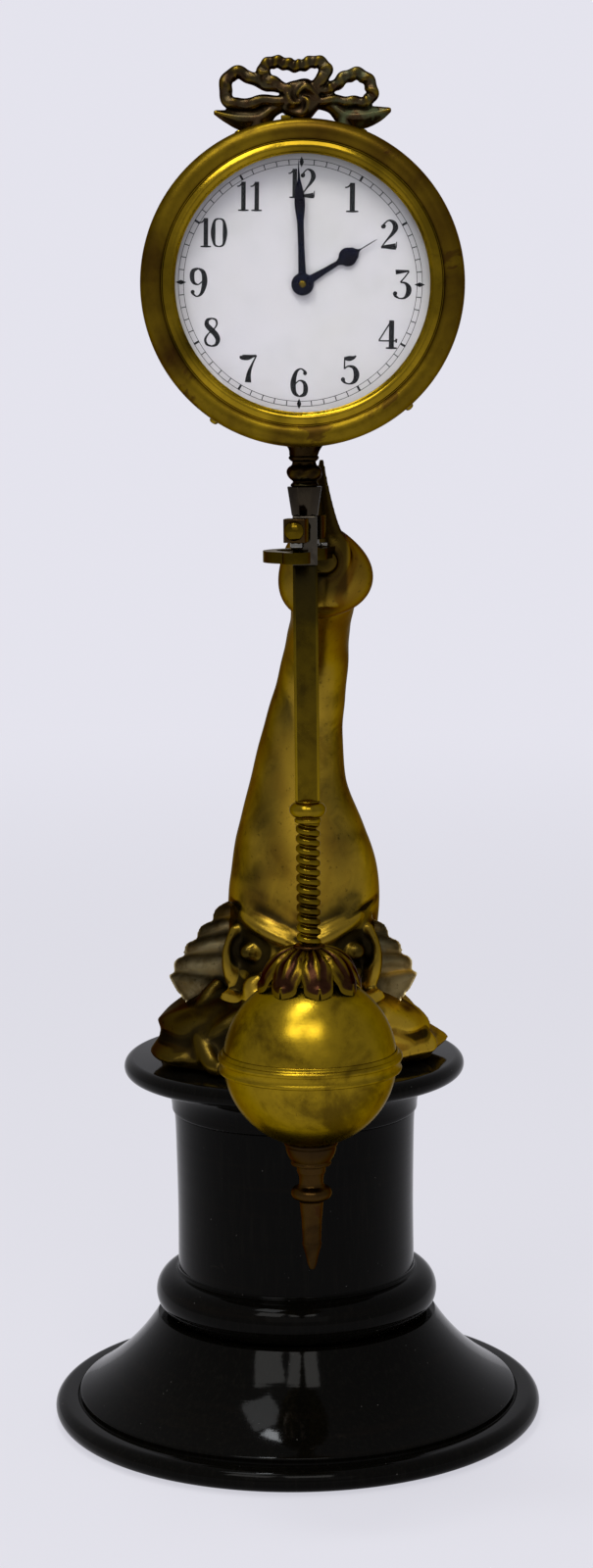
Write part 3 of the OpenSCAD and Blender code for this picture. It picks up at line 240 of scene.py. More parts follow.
def baked(obj):
    """The evaluated object as a plain mesh on the same object, with its modifiers removed."""
    bpy.context.view_layer.update()
    graph = bpy.context.evaluated_depsgraph_get()
    mesh = bpy.data.meshes.new_from_object(obj.evaluated_get(graph))
    mesh.name = obj.name
    obj.modifiers.clear()
    obj.data = mesh
    return obj


def finished(obj, finish, body, replaces=(), smooth=35):
    """Gives a piece its finish and its place in the moving model."""
    if finish is not None:
        obj.data.materials.clear()
        obj.data.materials.append(finish)
    if smooth:
        smooth_by(obj.data, smooth)
    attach(obj, body)
    if replaces:
        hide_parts(*replaces)
    return obj


def turned(name, profile, finish, body, replaces=(), place=None, sides=None, smooth=35, soft=0.25):
    """A turned piece from a profile of radius and height."""
    points, faces = lathe_points(rounded(profile, soft), sides or sizes().turned_sides)
    if place is not None:
        points = place(points)
    obj = to_object(name, to_mesh(name, points, faces))
    return finished(obj, finish, body, replaces, smooth)


def softened(name, node, finish, body, width=None, segments=3, smooth=40):
    """A copy of a CAD node with softened edges, which stands for the node."""
    mesh = NODES[node].data.copy()
    b = bmesh.new()
    b.from_mesh(mesh)
    bmesh.ops.remove_doubles(b, verts=b.verts, dist=2e-7)
    bmesh.ops.dissolve_limit(b, angle_limit=math.radians(1), verts=b.verts, edges=b.edges)
    bmesh.ops.recalc_face_normals(b, faces=b.faces)
    b.to_mesh(mesh)
    b.free()
    for attribute in [a.name for a in mesh.attributes if a.name.startswith("custom_normal")]:
        mesh.attributes.remove(mesh.attributes[attribute])
    obj = to_object(name, mesh)
    bevel = obj.modifiers.new("edges", "BEVEL")
    bevel.width = width or sizes().edge_soft
    bevel.segments = segments
    bevel.limit_method = "ANGLE"
    bevel.angle_limit = math.radians(30)
    bevel.use_clamp_overlap = True
    bevel.harden_normals = False
    baked(obj)
    return finished(obj, finish, body, (node,), smooth)


def cast(name, parts, voxel, relax, finish, body, replaces=(), detail=None, hollow_span=18, fill=0, tarnish=None):
    """Closed forms joined to one cast skin, filleted, relaxed, and given its hollows as an attribute."""
    points, faces, start = [], [], 0
    for p, f in parts:
        points.append(np.asarray(p, float))
        faces += [tuple(start + i for i in face) for face in f]
        start += len(p)
    mesh = bpy.data.meshes.new(name)
    mesh.from_pydata([tuple(p) for p in np.concatenate(points) * MM], [], faces)
    b = bmesh.new()
    b.from_mesh(mesh)
    bmesh.ops.recalc_face_normals(b, faces=b.faces)
    b.to_mesh(mesh)
    b.free()
    obj = to_object(name, mesh)
    remesh = obj.modifiers.new("skin", "REMESH")
    remesh.mode = "VOXEL"
    remesh.voxel_size = voxel
    remesh.adaptivity = 0
    baked(obj)
    fill_creases(obj.data, fill)
    relax_mesh(obj.data, relax)
    if detail is not None:
        carve(obj.data, detail)
    mark_hollows(obj.data, hollow_span)
    if tarnish is not None:
        tarnished(obj, tarnish)
    return finished(obj, finish, body, replaces, 60)


def positions(mesh):
    co = np.empty(len(mesh.vertices) * 3, np.float32)
    mesh.vertices.foreach_get("co", co)
    return co.reshape(-1, 3).astype(float)


def set_positions(mesh, co):
    mesh.vertices.foreach_set("co", np.asarray(co, np.float32).ravel())
    mesh.update()


def normals(mesh):
    n = np.empty(len(mesh.vertices) * 3, np.float32)
    mesh.vertex_normals.foreach_get("vector", n)
    return n.reshape(-1, 3).astype(float)


def edge_list(mesh):
    e = np.empty(len(mesh.edges) * 2, np.int32)
    mesh.edges.foreach_get("vertices", e)
    return e.reshape(-1, 2)


def averaged(values, edges, rounds, weight=1.0):
    """Values drawn towards the mean of their neighbours."""
    count = np.bincount(edges.ravel(), minlength=len(values)).astype(float)
    count[count == 0] = 1
    flat = values.reshape(len(values), -1).astype(float)
    for _ in range(rounds):
        mean = np.stack([
            np.bincount(edges[:, 0], flat[edges[:, 1], k], len(flat)) + np.bincount(edges[:, 1], flat[edges[:, 0], k], len(flat))
            for k in range(flat.shape[1])], 1) / count[:, None]
        flat = flat + weight * (mean - flat)
    return flat.reshape(values.shape)


def relax_mesh(mesh, rounds):
    """Smooths without shrinking, by a step in and a smaller step out."""
    co, edges = positions(mesh), edge_list(mesh)
    for _ in range(rounds):
        co = averaged(co, edges, 1, 0.6)
        co = averaged(co, edges, 1, -0.58)
    set_positions(mesh, averaged(co, edges, 1, 0.3))


def carve(mesh, detail):
    """Moves each vertex along its normal by detail(points in mm, normals), in millimetres."""
    co, n = positions(mesh), normals(mesh)
    set_positions(mesh, co + n * (detail(co / MM, n) * MM)[:, None])


def mark_hollows(mesh, span):
    """Stores 0 on ridges, 0.5 on even parts and 1 in hollows, as the attribute hollow."""
    co, n, edges = positions(mesh), normals(mesh), edge_list(mesh)
    lift = ((averaged(co, edges, span, 0.7) - co) * n).sum(1) / MM
    lift = averaged(lift, edges, 2, 0.5)
    depth = np.clip(0.5 + lift / 0.5, 0, 1)
    attribute = mesh.attributes.new("hollow", "FLOAT", "POINT")
    attribute.data.foreach_set("value", depth.astype(np.float32))


def tarnished(obj, amount):
    """Stores how dark each point is painted, from 0 to 1, as painted shade and tarnish, in a point attribute."""
    values = np.clip(amount(positions(obj.data) / MM), 0, 1)
    attribute = obj.data.attributes.new("tarnish", "FLOAT", "POINT")
    attribute.data.foreach_set("value", values.astype(np.float32))


def rubbed(obj, amount):
    """Stores which faces are rubbed bright, from 0 to 1 by their normals, as the attribute rub."""
    values = [amount(face.normal) for face in obj.data.polygons]
    obj.data.attributes.new("rub", "FLOAT", "FACE").data.foreach_set("value", values)


def step(x, low, high):
    """A smooth step from 0 at low to 1 at high."""
    u = np.clip((x - low) / (high - low), 0, 1)
    return u * u * (3 - 2 * u)


def fill_creases(mesh, rounds):
    """Fills the creases between joined forms with soft fillets, as a casting has them."""
    edges = edge_list(mesh)
    for k in range(rounds):
        if k % 8 == 0:
            co, n = positions(mesh), normals(mesh)
        lift = ((averaged(co, edges, 1) - co) * n).sum(1)
        co = co + n * np.maximum(lift, 0)[:, None]
        if k % 8 == 7 or k == rounds - 1:
            set_positions(mesh, co)


def ball_form(centre, radii, turn=0.0, sides=28, rows=16):
    """A closed ellipsoid, turned round the Y axis by a number of degrees."""
    a = np.linspace(0, 2 * np.pi, sides, endpoint=False)
    rings = []
    for v in np.linspace(0.02, math.pi - 0.02, rows):
        rings.append(np.stack([math.sin(v) * np.cos(a), math.sin(v) * np.sin(a), np.full(sides, math.cos(v))], 1))
    p = np.concatenate(rings) * np.array(radii, float)
    t = math.radians(turn)
    x, z = p[:, 0] * math.cos(t) + p[:, 2] * math.sin(t), -p[:, 0] * math.sin(t) + p[:, 2] * math.cos(t)
    return np.stack([x, p[:, 1], z], 1) + np.array(centre, float), ring_faces(rows, sides)


def roll_form(stations, n=48, sides=20, flat=1.0, bumps=0, bump=0.0):
    """A rounded roll along stations of place and radius, pinched in steps when bumps is set."""
    path = resample(stations, n)
    rings = []
    for i in range(n + 1):
        way = path[min(i + 1, n), :3] - path[max(i - 1, 0), :3]
        way /= np.linalg.norm(way)
        u = np.cross(way, [0, -0.8, 0.6])
        u /= np.linalg.norm(u)
        v = np.cross(u, way)
        r = max(path[i, 3], 0.05) * (1 + bump * math.cos(2 * math.pi * bumps * i / n))
        a = np.linspace(0, 2 * np.pi, sides, endpoint=False)[:, None]
        rings.append(path[i, :3] + r * (np.cos(a) * u + flat * np.sin(a) * v))
    return np.concatenate(rings), ring_faces(n + 1, sides)


# ---------------------------------------------------------------- finishes


class Finish:
    """Builds the nodes of one material by short calls."""

    def __init__(self, name, **uniform):
        self.material = bpy.data.materials.new(name)
        self.material.use_nodes = True
        self.tree = self.material.node_tree
        self.tree.nodes.clear()
        self.shader = self.node("ShaderNodeBsdfPrincipled")
        self.output = self.node("ShaderNodeOutputMaterial")
        self.link(self.shader.outputs["BSDF"], self.output.inputs["Surface"])
        self.place = self.node("ShaderNodeTexCoord").outputs["Object"]
        for key, value in uniform.items():
            self.shader.inputs[key.replace("_", " ")].default_value = value

    def node(self, kind):
        return self.tree.nodes.new(kind)

    def link(self, source, target):
        self.tree.links.new(source, target)

    def set(self, socket, source):
        self.link(source, self.shader.inputs[socket])

    def mapped(self, scale=(1, 1, 1), turn=(0, 0, 0), centre=(0, 0, 0)):
        node = self.node("ShaderNodeMapping")
        node.inputs["Scale"].default_value = scale
        node.inputs["Rotation"].default_value = turn
        node.inputs["Location"].default_value = centre
        self.link(self.place, node.inputs["Vector"])
        return node.outputs["Vector"]

    def noise(self, scale, detail=4.0, rough=0.55, twist=0.0, place=None):
        node = self.node("ShaderNodeTexNoise")
        node.inputs["Scale"].default_value = scale
        node.inputs["Detail"].default_value = detail
        node.inputs["Roughness"].default_value = rough
        node.inputs["Distortion"].default_value = twist
        self.link(place or self.place, node.inputs["Vector"])
        return node.outputs["Fac"]

    def cells(self, scale, place=None, feature="F1"):
        node = self.node("ShaderNodeTexVoronoi")
        node.feature = feature
        node.inputs["Scale"].default_value = scale
        self.link(place or self.place, node.inputs["Vector"])
        return node.outputs["Distance"]

    def spread(self, source, low, high, to_low=0.0, to_high=1.0):
        node = self.node("ShaderNodeMapRange")
        node.interpolation_type = "SMOOTHSTEP"
        for key, value in (("From Min", low), ("From Max", high), ("To Min", to_low), ("To Max", to_high)):
            node.inputs[key].default_value = value
        self.link(source, node.inputs["Value"])
        return node.outputs["Result"]

    def math(self, operation, a, b):
        node = self.node("ShaderNodeMath")
        node.operation = operation
        node.use_clamp = operation in ("ADD", "MULTIPLY", "SUBTRACT")
        for slot, value in enumerate((a, b)):
            if isinstance(value, (int, float)):
                node.inputs[slot].default_value = value
            else:
                self.link(value, node.inputs[slot])
        return node.outputs[0]

    def blend(self, factor, a, b):
        node = self.node("ShaderNodeMix")
        node.data_type = "RGBA"
        self.link(factor, node.inputs[0])
        for slot, value in ((6, a), (7, b)):
            if isinstance(value, bpy.types.NodeSocket):
                self.link(value, node.inputs[slot])
            else:
                node.inputs[slot].default_value = (*tuple(value)[:3], 1)
        return node.outputs[2]

    def attribute(self, name):
        node = self.node("ShaderNodeAttribute")
        node.attribute_name = name
        return node.outputs["Fac"]

    def bump(self, height, strength, distance, before=None):
        node = self.node("ShaderNodeBump")
        node.inputs["Strength"].default_value = strength
        node.inputs["Distance"].default_value = distance
        self.link(height, node.inputs["Height"])
        if before is not None:
            self.link(before, node.inputs["Normal"])
        self.set("Normal", node.outputs["Normal"])
        return node.outputs["Normal"]


def shade(value, factor):
    return tuple(min(1.0, c * factor) for c in tuple(value)[:3])


def aged_brass(name, clean, dull, stain, wear=0.5, stains=0.6, rough=(0.2, 0.42), brushed=None, grain=1.0, dark=None):
    """Brass with a drifting brown film, red-brown stains, dark pits and fine scratches, darkened by painted shade and
    tarnish where its stored attribute says.
    """
    f = Finish(name, Metallic=1.0)
    f.shader.inputs["Specular Tint"].default_value = (0.5, 0.42, 0.25, 1)
    film = f.spread(f.noise(55, 5, 0.6, 0.6), 0.62 - 0.3 * wear, 0.78 - 0.2 * wear)
    drift = f.spread(f.noise(19, 3, 0.5, 0.3), 0.3, 0.7)
    base = f.blend(film, clean, dull)
    base = f.blend(f.math("MULTIPLY", drift, 0.45), base, shade(dull, 0.8))
    mottle = f.spread(f.noise(320, 4, 0.7), 0.42, 0.7)
    base = f.blend(f.math("MULTIPLY", mottle, 0.25), base, shade(dull, 0.55))
    blot = f.spread(f.noise(38, 6, 0.62, 1.2), 0.66 - 0.1 * stains, 0.7 - 0.1 * stains)
    base = f.blend(f.math("MULTIPLY", blot, stains), base, stain)
    pits = f.spread(f.cells(900), 0.05, 0.16, 1.0, 0.0)
    seldom = f.spread(f.noise(150, 2), 0.55, 0.62)
    pits = f.math("MULTIPLY", pits, seldom)
    base = f.blend(f.math("MULTIPLY", pits, 0.7), base, shade(stain, 0.8))
    base = f.blend(f.math("MULTIPLY", f.attribute("rub"), 0.75), base, shade(clean, 1.9))
    # Painted shade and tarnish: the dark colour is laid where the stored attribute is set.
    place = f.math("MULTIPLY", f.attribute("tarnish"), f.spread(f.noise(30, 4, 0.6, 0.8), 0.3, 0.6, 0.55, 1.0))
    base = f.blend(place, base, dark or shade(stain, 0.75))
    f.set("Base Color", base)
    spread = f.spread(f.math("ADD", f.math("MULTIPLY", film, 0.6), f.math("MULTIPLY", blot, 0.5)), 0.0, 1.0, rough[0], rough[1])
    f.set("Roughness", spread)
    lines = f.noise(240, 3, 0.6, 0.0, f.mapped(brushed or (1, 1, 7)))
    normal = f.bump(f.noise(1400, 3, 0.6), 0.10 * grain, 0.00012)
    normal = f.bump(lines, 0.08 * grain, 0.0002, normal)
    f.bump(f.noise(60, 2), 0.12 * grain, 0.0006, normal)
    return f.material


def cast_gilt(name, gold, deep, dull, rough=(0.28, 0.5), orange=0.35, dark=0.92, film=0.8):
    """Old gilding on a casting: worn bright on ridges, dark in hollows, mottled between."""
    f = Finish(name, Metallic=1.0)
    f.shader.inputs["Specular Tint"].default_value = (0.35, 0.28, 0.14, 1)
    hollow = f.attribute("hollow")
    ridge = f.spread(hollow, 0.30, 0.46, 1.0, 0.0)
    depth = f.spread(hollow, 0.54, 0.72)
    mottle = f.spread(f.noise(150, 5, 0.62, 0.8), 0.40, 0.64)
    drift = f.spread(f.noise(48, 5, 0.6, 0.7, f.mapped((1, 1, 0.45))), 0.40, 0.60)
    base = f.blend(mottle, gold, dull)
    grey_green = (deep[0] * 2.6, deep[1] * 3.2, deep[2] * 3.6)
    base = f.blend(f.math("MULTIPLY", drift, film), base, grey_green)
    warm = f.spread(f.noise(33, 3, 0.5, 0.5), 0.5, 0.66)
    base = f.blend(f.math("MULTIPLY", warm, orange), base, (gold[0] * 0.72, gold[1] * 0.5, gold[2] * 0.4))
    base = f.blend(f.math("MULTIPLY", ridge, 0.7), base, shade(gold, 1.35))
    speck = f.spread(f.noise(700, 3, 0.7), 0.6, 0.72)
    base = f.blend(f.math("MULTIPLY", speck, 0.5), base, deep)
    base = f.blend(f.math("MULTIPLY", depth, dark), base, deep)
    # Painted shade and tarnish: darkened where the stored attribute is set.
    base = f.blend(f.math("MULTIPLY", f.attribute("tarnish"), 0.9), base, shade(deep, 1.2))
    f.set("Base Color", base)
    f.set("Roughness", f.spread(f.math("ADD", f.math("MULTIPLY", depth, 0.8), f.math("MULTIPLY", drift, 0.4)), 0.0, 1.0, rough[0], rough[1]))
    normal = f.bump(f.noise(520, 4, 0.6), 0.16, 0.0002)
    f.bump(f.noise(120, 3), 0.14, 0.0006, normal)
    return f.material


def dark_bronze(name, bronze, patina, bright, amount=0.5, green_from=None):
    """Dark bronze with a green bloom, thicker past green_from on X, and rubbed edges."""
    f = Finish(name, Metallic=1.0)
    f.shader.inputs["Specular Tint"].default_value = (0.35, 0.3, 0.25, 1)
    hollow = f.attribute("hollow")
    ridge = f.spread(hollow, 0.2, 0.42, 1.0, 0.0)
    depth = f.spread(hollow, 0.53, 0.7)
    cloud = f.spread(f.noise(120, 4, 0.6, 0.6), 0.4, 0.62)
    base = f.blend(cloud, bronze, shade(bronze, 0.5))
    bloom = f.math("MULTIPLY", f.spread(f.noise(75, 5, 0.65, 1.0), 0.56 - 0.1 * amount, 0.66), amount)
    if green_from is not None:
        parts = f.node("ShaderNodeSeparateXYZ")
        f.link(f.place, parts.inputs[0])
        side = f.spread(parts.outputs["X"], green_from, green_from + 0.005, 0.25, 1.0)
        bloom = f.math("MULTIPLY", f.math("ADD", bloom, f.math("MULTIPLY", f.spread(f.noise(260, 4, 0.65), 0.42, 0.6), 0.5)), side)
    base = f.blend(bloom, base, patina)
    base = f.blend(f.math("MULTIPLY", ridge, 0.75), base, bright)
    base = f.blend(f.math("MULTIPLY", depth, 0.9), base, shade(bronze, 0.22))
    f.set("Base Color", base)
    f.set("Roughness", f.spread(f.math("ADD", bloom, f.math("MULTIPLY", depth, 0.6)), 0.0, 1.0, 0.27, 0.62))
    normal = f.bump(f.noise(800, 3, 0.6), 0.2, 0.00015)
    f.bump(f.noise(210, 2), 0.14, 0.0004, normal)
    return f.material


def old_steel(name, steel, dark, rough=(0.16, 0.42), along=(1, 1, 0.12), tint=0.4):
    """Filed steel with a brown-grey film, drawn scratches and small rust specks."""
    f = Finish(name, Metallic=1.0)
    film = f.spread(f.noise(130, 5, 0.6, 0.5), 0.4, 0.68)
    base = f.blend(f.math("MULTIPLY", film, 0.85), steel, dark)
    rust = f.spread(f.noise(420, 4, 0.7, 0.6), 0.64, 0.72)
    base = f.blend(f.math("MULTIPLY", rust, tint), base, (0.09, 0.045, 0.02))
    f.set("Base Color", base)
    f.set("Roughness", f.spread(f.math("ADD", f.math("MULTIPLY", film, 0.7), f.math("MULTIPLY", rust, 0.5)), 0.0, 1.0, rough[0], rough[1]))
    normal = f.bump(f.noise(900, 3, 0.6, 0.0, f.mapped(along)), 0.12, 0.00012)
    f.bump(f.noise(1500, 2), 0.06, 0.0001, normal)
    return f.material


def black_wood(name, wood):
    """Ebonised, polished wood: turned rings, faint grain, dust and small rubs."""
    f = Finish(name, Metallic=0.0)
    rings = f.noise(60, 4, 0.6, 0.2, f.mapped((0.25, 0.25, 7)))
    grain = f.noise(900, 4, 0.7, 0.4, f.mapped((1, 1, 0.08)))
    rub = f.spread(f.noise(70, 6, 0.7, 0.8), 0.63, 0.74)
    base = f.blend(f.spread(grain, 0.45, 0.75), shade(wood, 0.75), shade(wood, 1.7))
    base = f.blend(f.math("MULTIPLY", f.spread(rings, 0.5, 0.75), 0.4), base, (wood[0] * 2.2, wood[1] * 1.7, wood[2] * 1.4))
    base = f.blend(f.math("MULTIPLY", rub, 0.35), base, (0.028, 0.022, 0.017))
    dust = f.spread(f.cells(420), 0.03, 0.09, 1.0, 0.0)
    dust = f.math("MULTIPLY", dust, f.spread(f.noise(90, 2), 0.52, 0.62))
    base = f.blend(f.math("MULTIPLY", dust, 0.5), base, (0.16, 0.15, 0.14))
    f.set("Base Color", base)
    f.set("Roughness", f.spread(f.math("ADD", f.math("MULTIPLY", rub, 0.5), f.math("MULTIPLY", f.spread(rings, 0.4, 0.8), 0.35)), 0.0, 1.0, 0.07, 0.22))
    f.shader.inputs["Specular IOR Level"].default_value = 0.05
    normal = f.bump(f.noise(45, 3, 0.5, 0.0, f.mapped((0.3, 0.3, 6))), 0.10, 0.0006)
    f.bump(f.noise(1100, 3, 0.6, 0.0, f.mapped((1, 1, 0.15))), 0.05, 0.0001, normal)
    return f.material


def enamel_finish(name, enamel):
    """Fired enamel, off-white with a cool drift, yellowed towards the edge, with hairline dust."""
    f = Finish(name, Metallic=0.0, Roughness=0.2)
    drift = f.spread(f.noise(30, 3, 0.5, 0.3), 0.35, 0.7)
    base = f.blend(drift, enamel, (enamel[0] * 0.95, enamel[1] * 0.955, enamel[2] * 0.90))
    apart = f.node("ShaderNodeVectorMath")
    apart.operation = "LENGTH"
    centre = f.mapped((1, 0, 1), (0, 0, 0), (-SIDE * MM, 0, -HEAD_Z * MM))
    f.link(centre, apart.inputs[0])
    rim = f.spread(apart.outputs["Value"], 0.0255, 0.0325)
    base = f.blend(f.math("MULTIPLY", rim, 0.4), base, (enamel[0] * 0.78, enamel[1] * 0.74, enamel[2] * 0.6))
    hair = f.spread(f.cells(260), 0.02, 0.05, 1.0, 0.0)
    hair = f.math("MULTIPLY", hair, f.spread(f.noise(70, 2), 0.6, 0.66))
    base = f.blend(f.math("MULTIPLY", hair, 0.35), base, (0.25, 0.23, 0.2))
    f.set("Base Color", base)
    f.shader.inputs["Coat Weight"].default_value = 0.25
    f.shader.inputs["Coat Roughness"].default_value = 0.08
    f.bump(f.noise(110, 3), 0.07, 0.0004)
    return f.material


def ink_finish(name, ink):
    """Fired black of the numerals, a little uneven."""
    f = Finish(name, Metallic=0.0, Roughness=0.34)
    f.shader.inputs["Specular IOR Level"].default_value = 0.15
    f.set("Base Color", f.blend(f.spread(f.noise(900, 4, 0.7), 0.4, 0.75), ink, shade(ink, 2.4)))
    f.bump(f.noise(1600, 2), 0.05, 0.00006)
    return f.material


def blued_finish(name, blued):
    """Blued steel, nearly black, with a blue to violet glint."""
    f = Finish(name, Metallic=1.0)
    drift = f.spread(f.noise(170, 3, 0.5, 0.4), 0.35, 0.68)
    base = f.blend(drift, (blued[0] * 0.4, blued[1] * 0.45, blued[2] * 0.6), (blued[0] * 0.5, blued[1] * 0.3, blued[2] * 0.3))
    base = f.blend(f.math("MULTIPLY", f.spread(f.noise(700, 3, 0.7), 0.6, 0.7), 0.5), base, shade(blued, 0.5))
    f.set("Base Color", base)
    f.set("Roughness", f.spread(f.noise(400, 3), 0.3, 0.8, 0.16, 0.34))
    f.bump(f.noise(1300, 3), 0.06, 0.0001)
    return f.material


def felt_finish(name, felt):
    """Short dark felt."""
    f = Finish(name, Metallic=0.0, Roughness=0.95)
    f.set("Base Color", f.blend(f.spread(f.noise(900, 5, 0.7), 0.35, 0.7), felt, shade(felt, 0.4)))
    f.shader.inputs["Sheen Weight"].default_value = 0.3
    f.shader.inputs["Sheen Roughness"].default_value = 0.5
    f.bump(f.noise(1500, 4, 0.7), 0.5, 0.0003)
    return f.material


def glass_finish(name):
    """Clear flat glass, thin enough to look straight through, with faint dust."""
    f = Finish(name, Metallic=0.0, IOR=1.2)
    f.shader.inputs["Transmission Weight"].default_value = 1.0
    f.set("Base Color", f.blend(f.spread(f.noise(160, 3), 0.4, 0.8), (0.98, 0.99, 0.985), (0.94, 0.955, 0.945)))
    f.set("Roughness", f.spread(f.noise(300, 4, 0.7), 0.55, 0.8, 0.0, 0.05))
    f.shader.inputs["Specular IOR Level"].default_value = 0.22
    path = f.node("ShaderNodeLightPath")
    clear = f.node("ShaderNodeBsdfTransparent")
    mix = f.node("ShaderNodeMixShader")
    f.link(path.outputs["Is Shadow Ray"], mix.inputs[0])
    f.link(f.shader.outputs["BSDF"], mix.inputs[1])
    f.link(clear.outputs[0], mix.inputs[2])
    f.link(mix.outputs[0], f.output.inputs["Surface"])
    return f.material


MADE = {}


def finish(key):
    """The named finish, made when it is first asked for."""
    if key in MADE:
        return MADE[key]
    c = finishes()
    brass, dull, stain = tuple(c.brass), tuple(c.brass_dull), tuple(c.stain)
    gilt, deep = tuple(c.gilt), tuple(c.gilt_deep)
    # A finish's dark is the colour laid by painted shade and tarnish.
    makers = {
        "bezel_brass": lambda: aged_brass("bezel_brass", shade(brass, 0.8), shade(dull, 0.95), stain, 0.5, 0.6, (0.34, 0.46)),
        "cove_brass": lambda: aged_brass("cove_brass", shade(brass, 1.5), shade(dull, 1.2), stain, 0.25, 0.25, (0.15, 0.24), dark=shade(dull, 0.4)),
        "drum_brass": lambda: aged_brass("drum_brass", shade(brass, 0.8), dull, stain, 0.6, 0.5, (0.28, 0.45), (1, 8, 1)),
        "ball_brass": lambda: aged_brass("ball_brass", shade(brass, 0.98), shade(dull, 0.95), stain, 0.5, 0.2, (0.26, 0.38)),
        "rod_brass": lambda: aged_brass("rod_brass", shade(brass, 0.5), shade(dull, 0.5), shade(stain, 0.7), 0.5, 0.3, (0.26, 0.42), (6, 6, 0.2), dark=(0.008, 0.007, 0.004)),
        "twist_brass": lambda: aged_brass("twist_brass", shade(brass, 0.62), shade(dull, 0.6), stain, 0.4, 0.3, (0.18, 0.3)),
        "bright_brass": lambda: aged_brass("bright_brass", brass, dull, stain, 0.25, 0.15, (0.18, 0.34)),
        "finial_brass": lambda: aged_brass("finial_brass", (0.056, 0.029, 0.007), (0.026, 0.014, 0.005), stain, 0.5, 0.5, (0.3, 0.46), (6, 6, 0.3), dark=(0.012, 0.008, 0.005)),
        "hook_brass": lambda: aged_brass("hook_brass", shade(brass, 0.19), shade(dull, 0.26), stain, 0.45, 0.4, (0.2, 0.38)),
        "plate_brass": lambda: aged_brass("plate_brass", brass, dull, stain, 0.1, 0.1, (0.24, 0.36), (8, 1, 1)),
        "body_gilt": lambda: cast_gilt("body_gilt", shade(gilt, 1.25), deep, shade(gilt, 0.75), film=0.62),
        "tail_gilt": lambda: cast_gilt("tail_gilt", shade(gilt, 0.85), deep, shade(gilt, 0.45), (0.3, 0.5), 0.85),
        "wave_gilt": lambda: cast_gilt("wave_gilt", shade(gilt, 1.4), deep, shade(gilt, 0.7), (0.3, 0.55), 0.6, 0.85),
        "fin_gilt": lambda: cast_gilt("fin_gilt", (0.74, 0.63, 0.35), deep, (0.42, 0.33, 0.15), (0.36, 0.52), 0.3, 0.3, 0.3),
        "bow_bronze": lambda: dark_bronze("bow_bronze", (0.052, 0.030, 0.014), tuple(c.patina), shade(brass, 0.5), 0.8, (SIDE + 4) * MM),
        "neck_bronze": lambda: dark_bronze("neck_bronze", shade(c.bronze, 0.4), tuple(c.patina), shade(dull, 0.7), 0.3),
        "block_bronze": lambda: aged_brass("block_bronze", shade(c.bronze, 0.9), shade(c.bronze, 0.5), stain, 0.5, 0.4, (0.22, 0.38)),
        "leaf_copper": lambda: dark_bronze("leaf_copper", shade(c.copper, 0.45), shade(dull, 0.5), shade(brass, 0.5), 0.5),
        "screw_brass": lambda: aged_brass("screw_brass", shade(brass, 0.42), shade(dull, 0.5), stain, 0.4, 0.3, (0.16, 0.3)),
        "steel": lambda: old_steel("steel", tuple(c.steel), shade(c.steel, 0.3)),
        "carrier_steel": lambda: old_steel("carrier_steel", (0.075, 0.064, 0.048), (0.024, 0.02, 0.015), (0.1, 0.3)),
        "dark_steel": lambda: old_steel("dark_steel", (0.034, 0.027, 0.018), (0.013, 0.01, 0.007), (0.12, 0.32)),
        "black_wood": lambda: black_wood("black_wood", tuple(c.wood)),
        "enamel": lambda: enamel_finish("enamel", tuple(c.enamel)),
        "ink": lambda: ink_finish("ink", tuple(c.ink)),
        "blued": lambda: blued_finish("blued", tuple(c.blued)),
        "felt": lambda: felt_finish("felt", tuple(c.felt)),
        "glass": lambda: glass_finish("glass"),
        "cast_metal": lambda: old_steel("cast_metal", (0.16, 0.16, 0.17), (0.08, 0.08, 0.085), (0.4, 0.6), (1, 1, 1), 0.1),
    }
    MADE[key] = makers[key]()
    return MADE[key]


def refinish(node, key):
    """Gives a CAD node whose shape is right its finish."""
    data = NODES[node].data
    data.materials.clear()
    data.materials.append(finish(key))


# ---------------------------------------------------------------- base


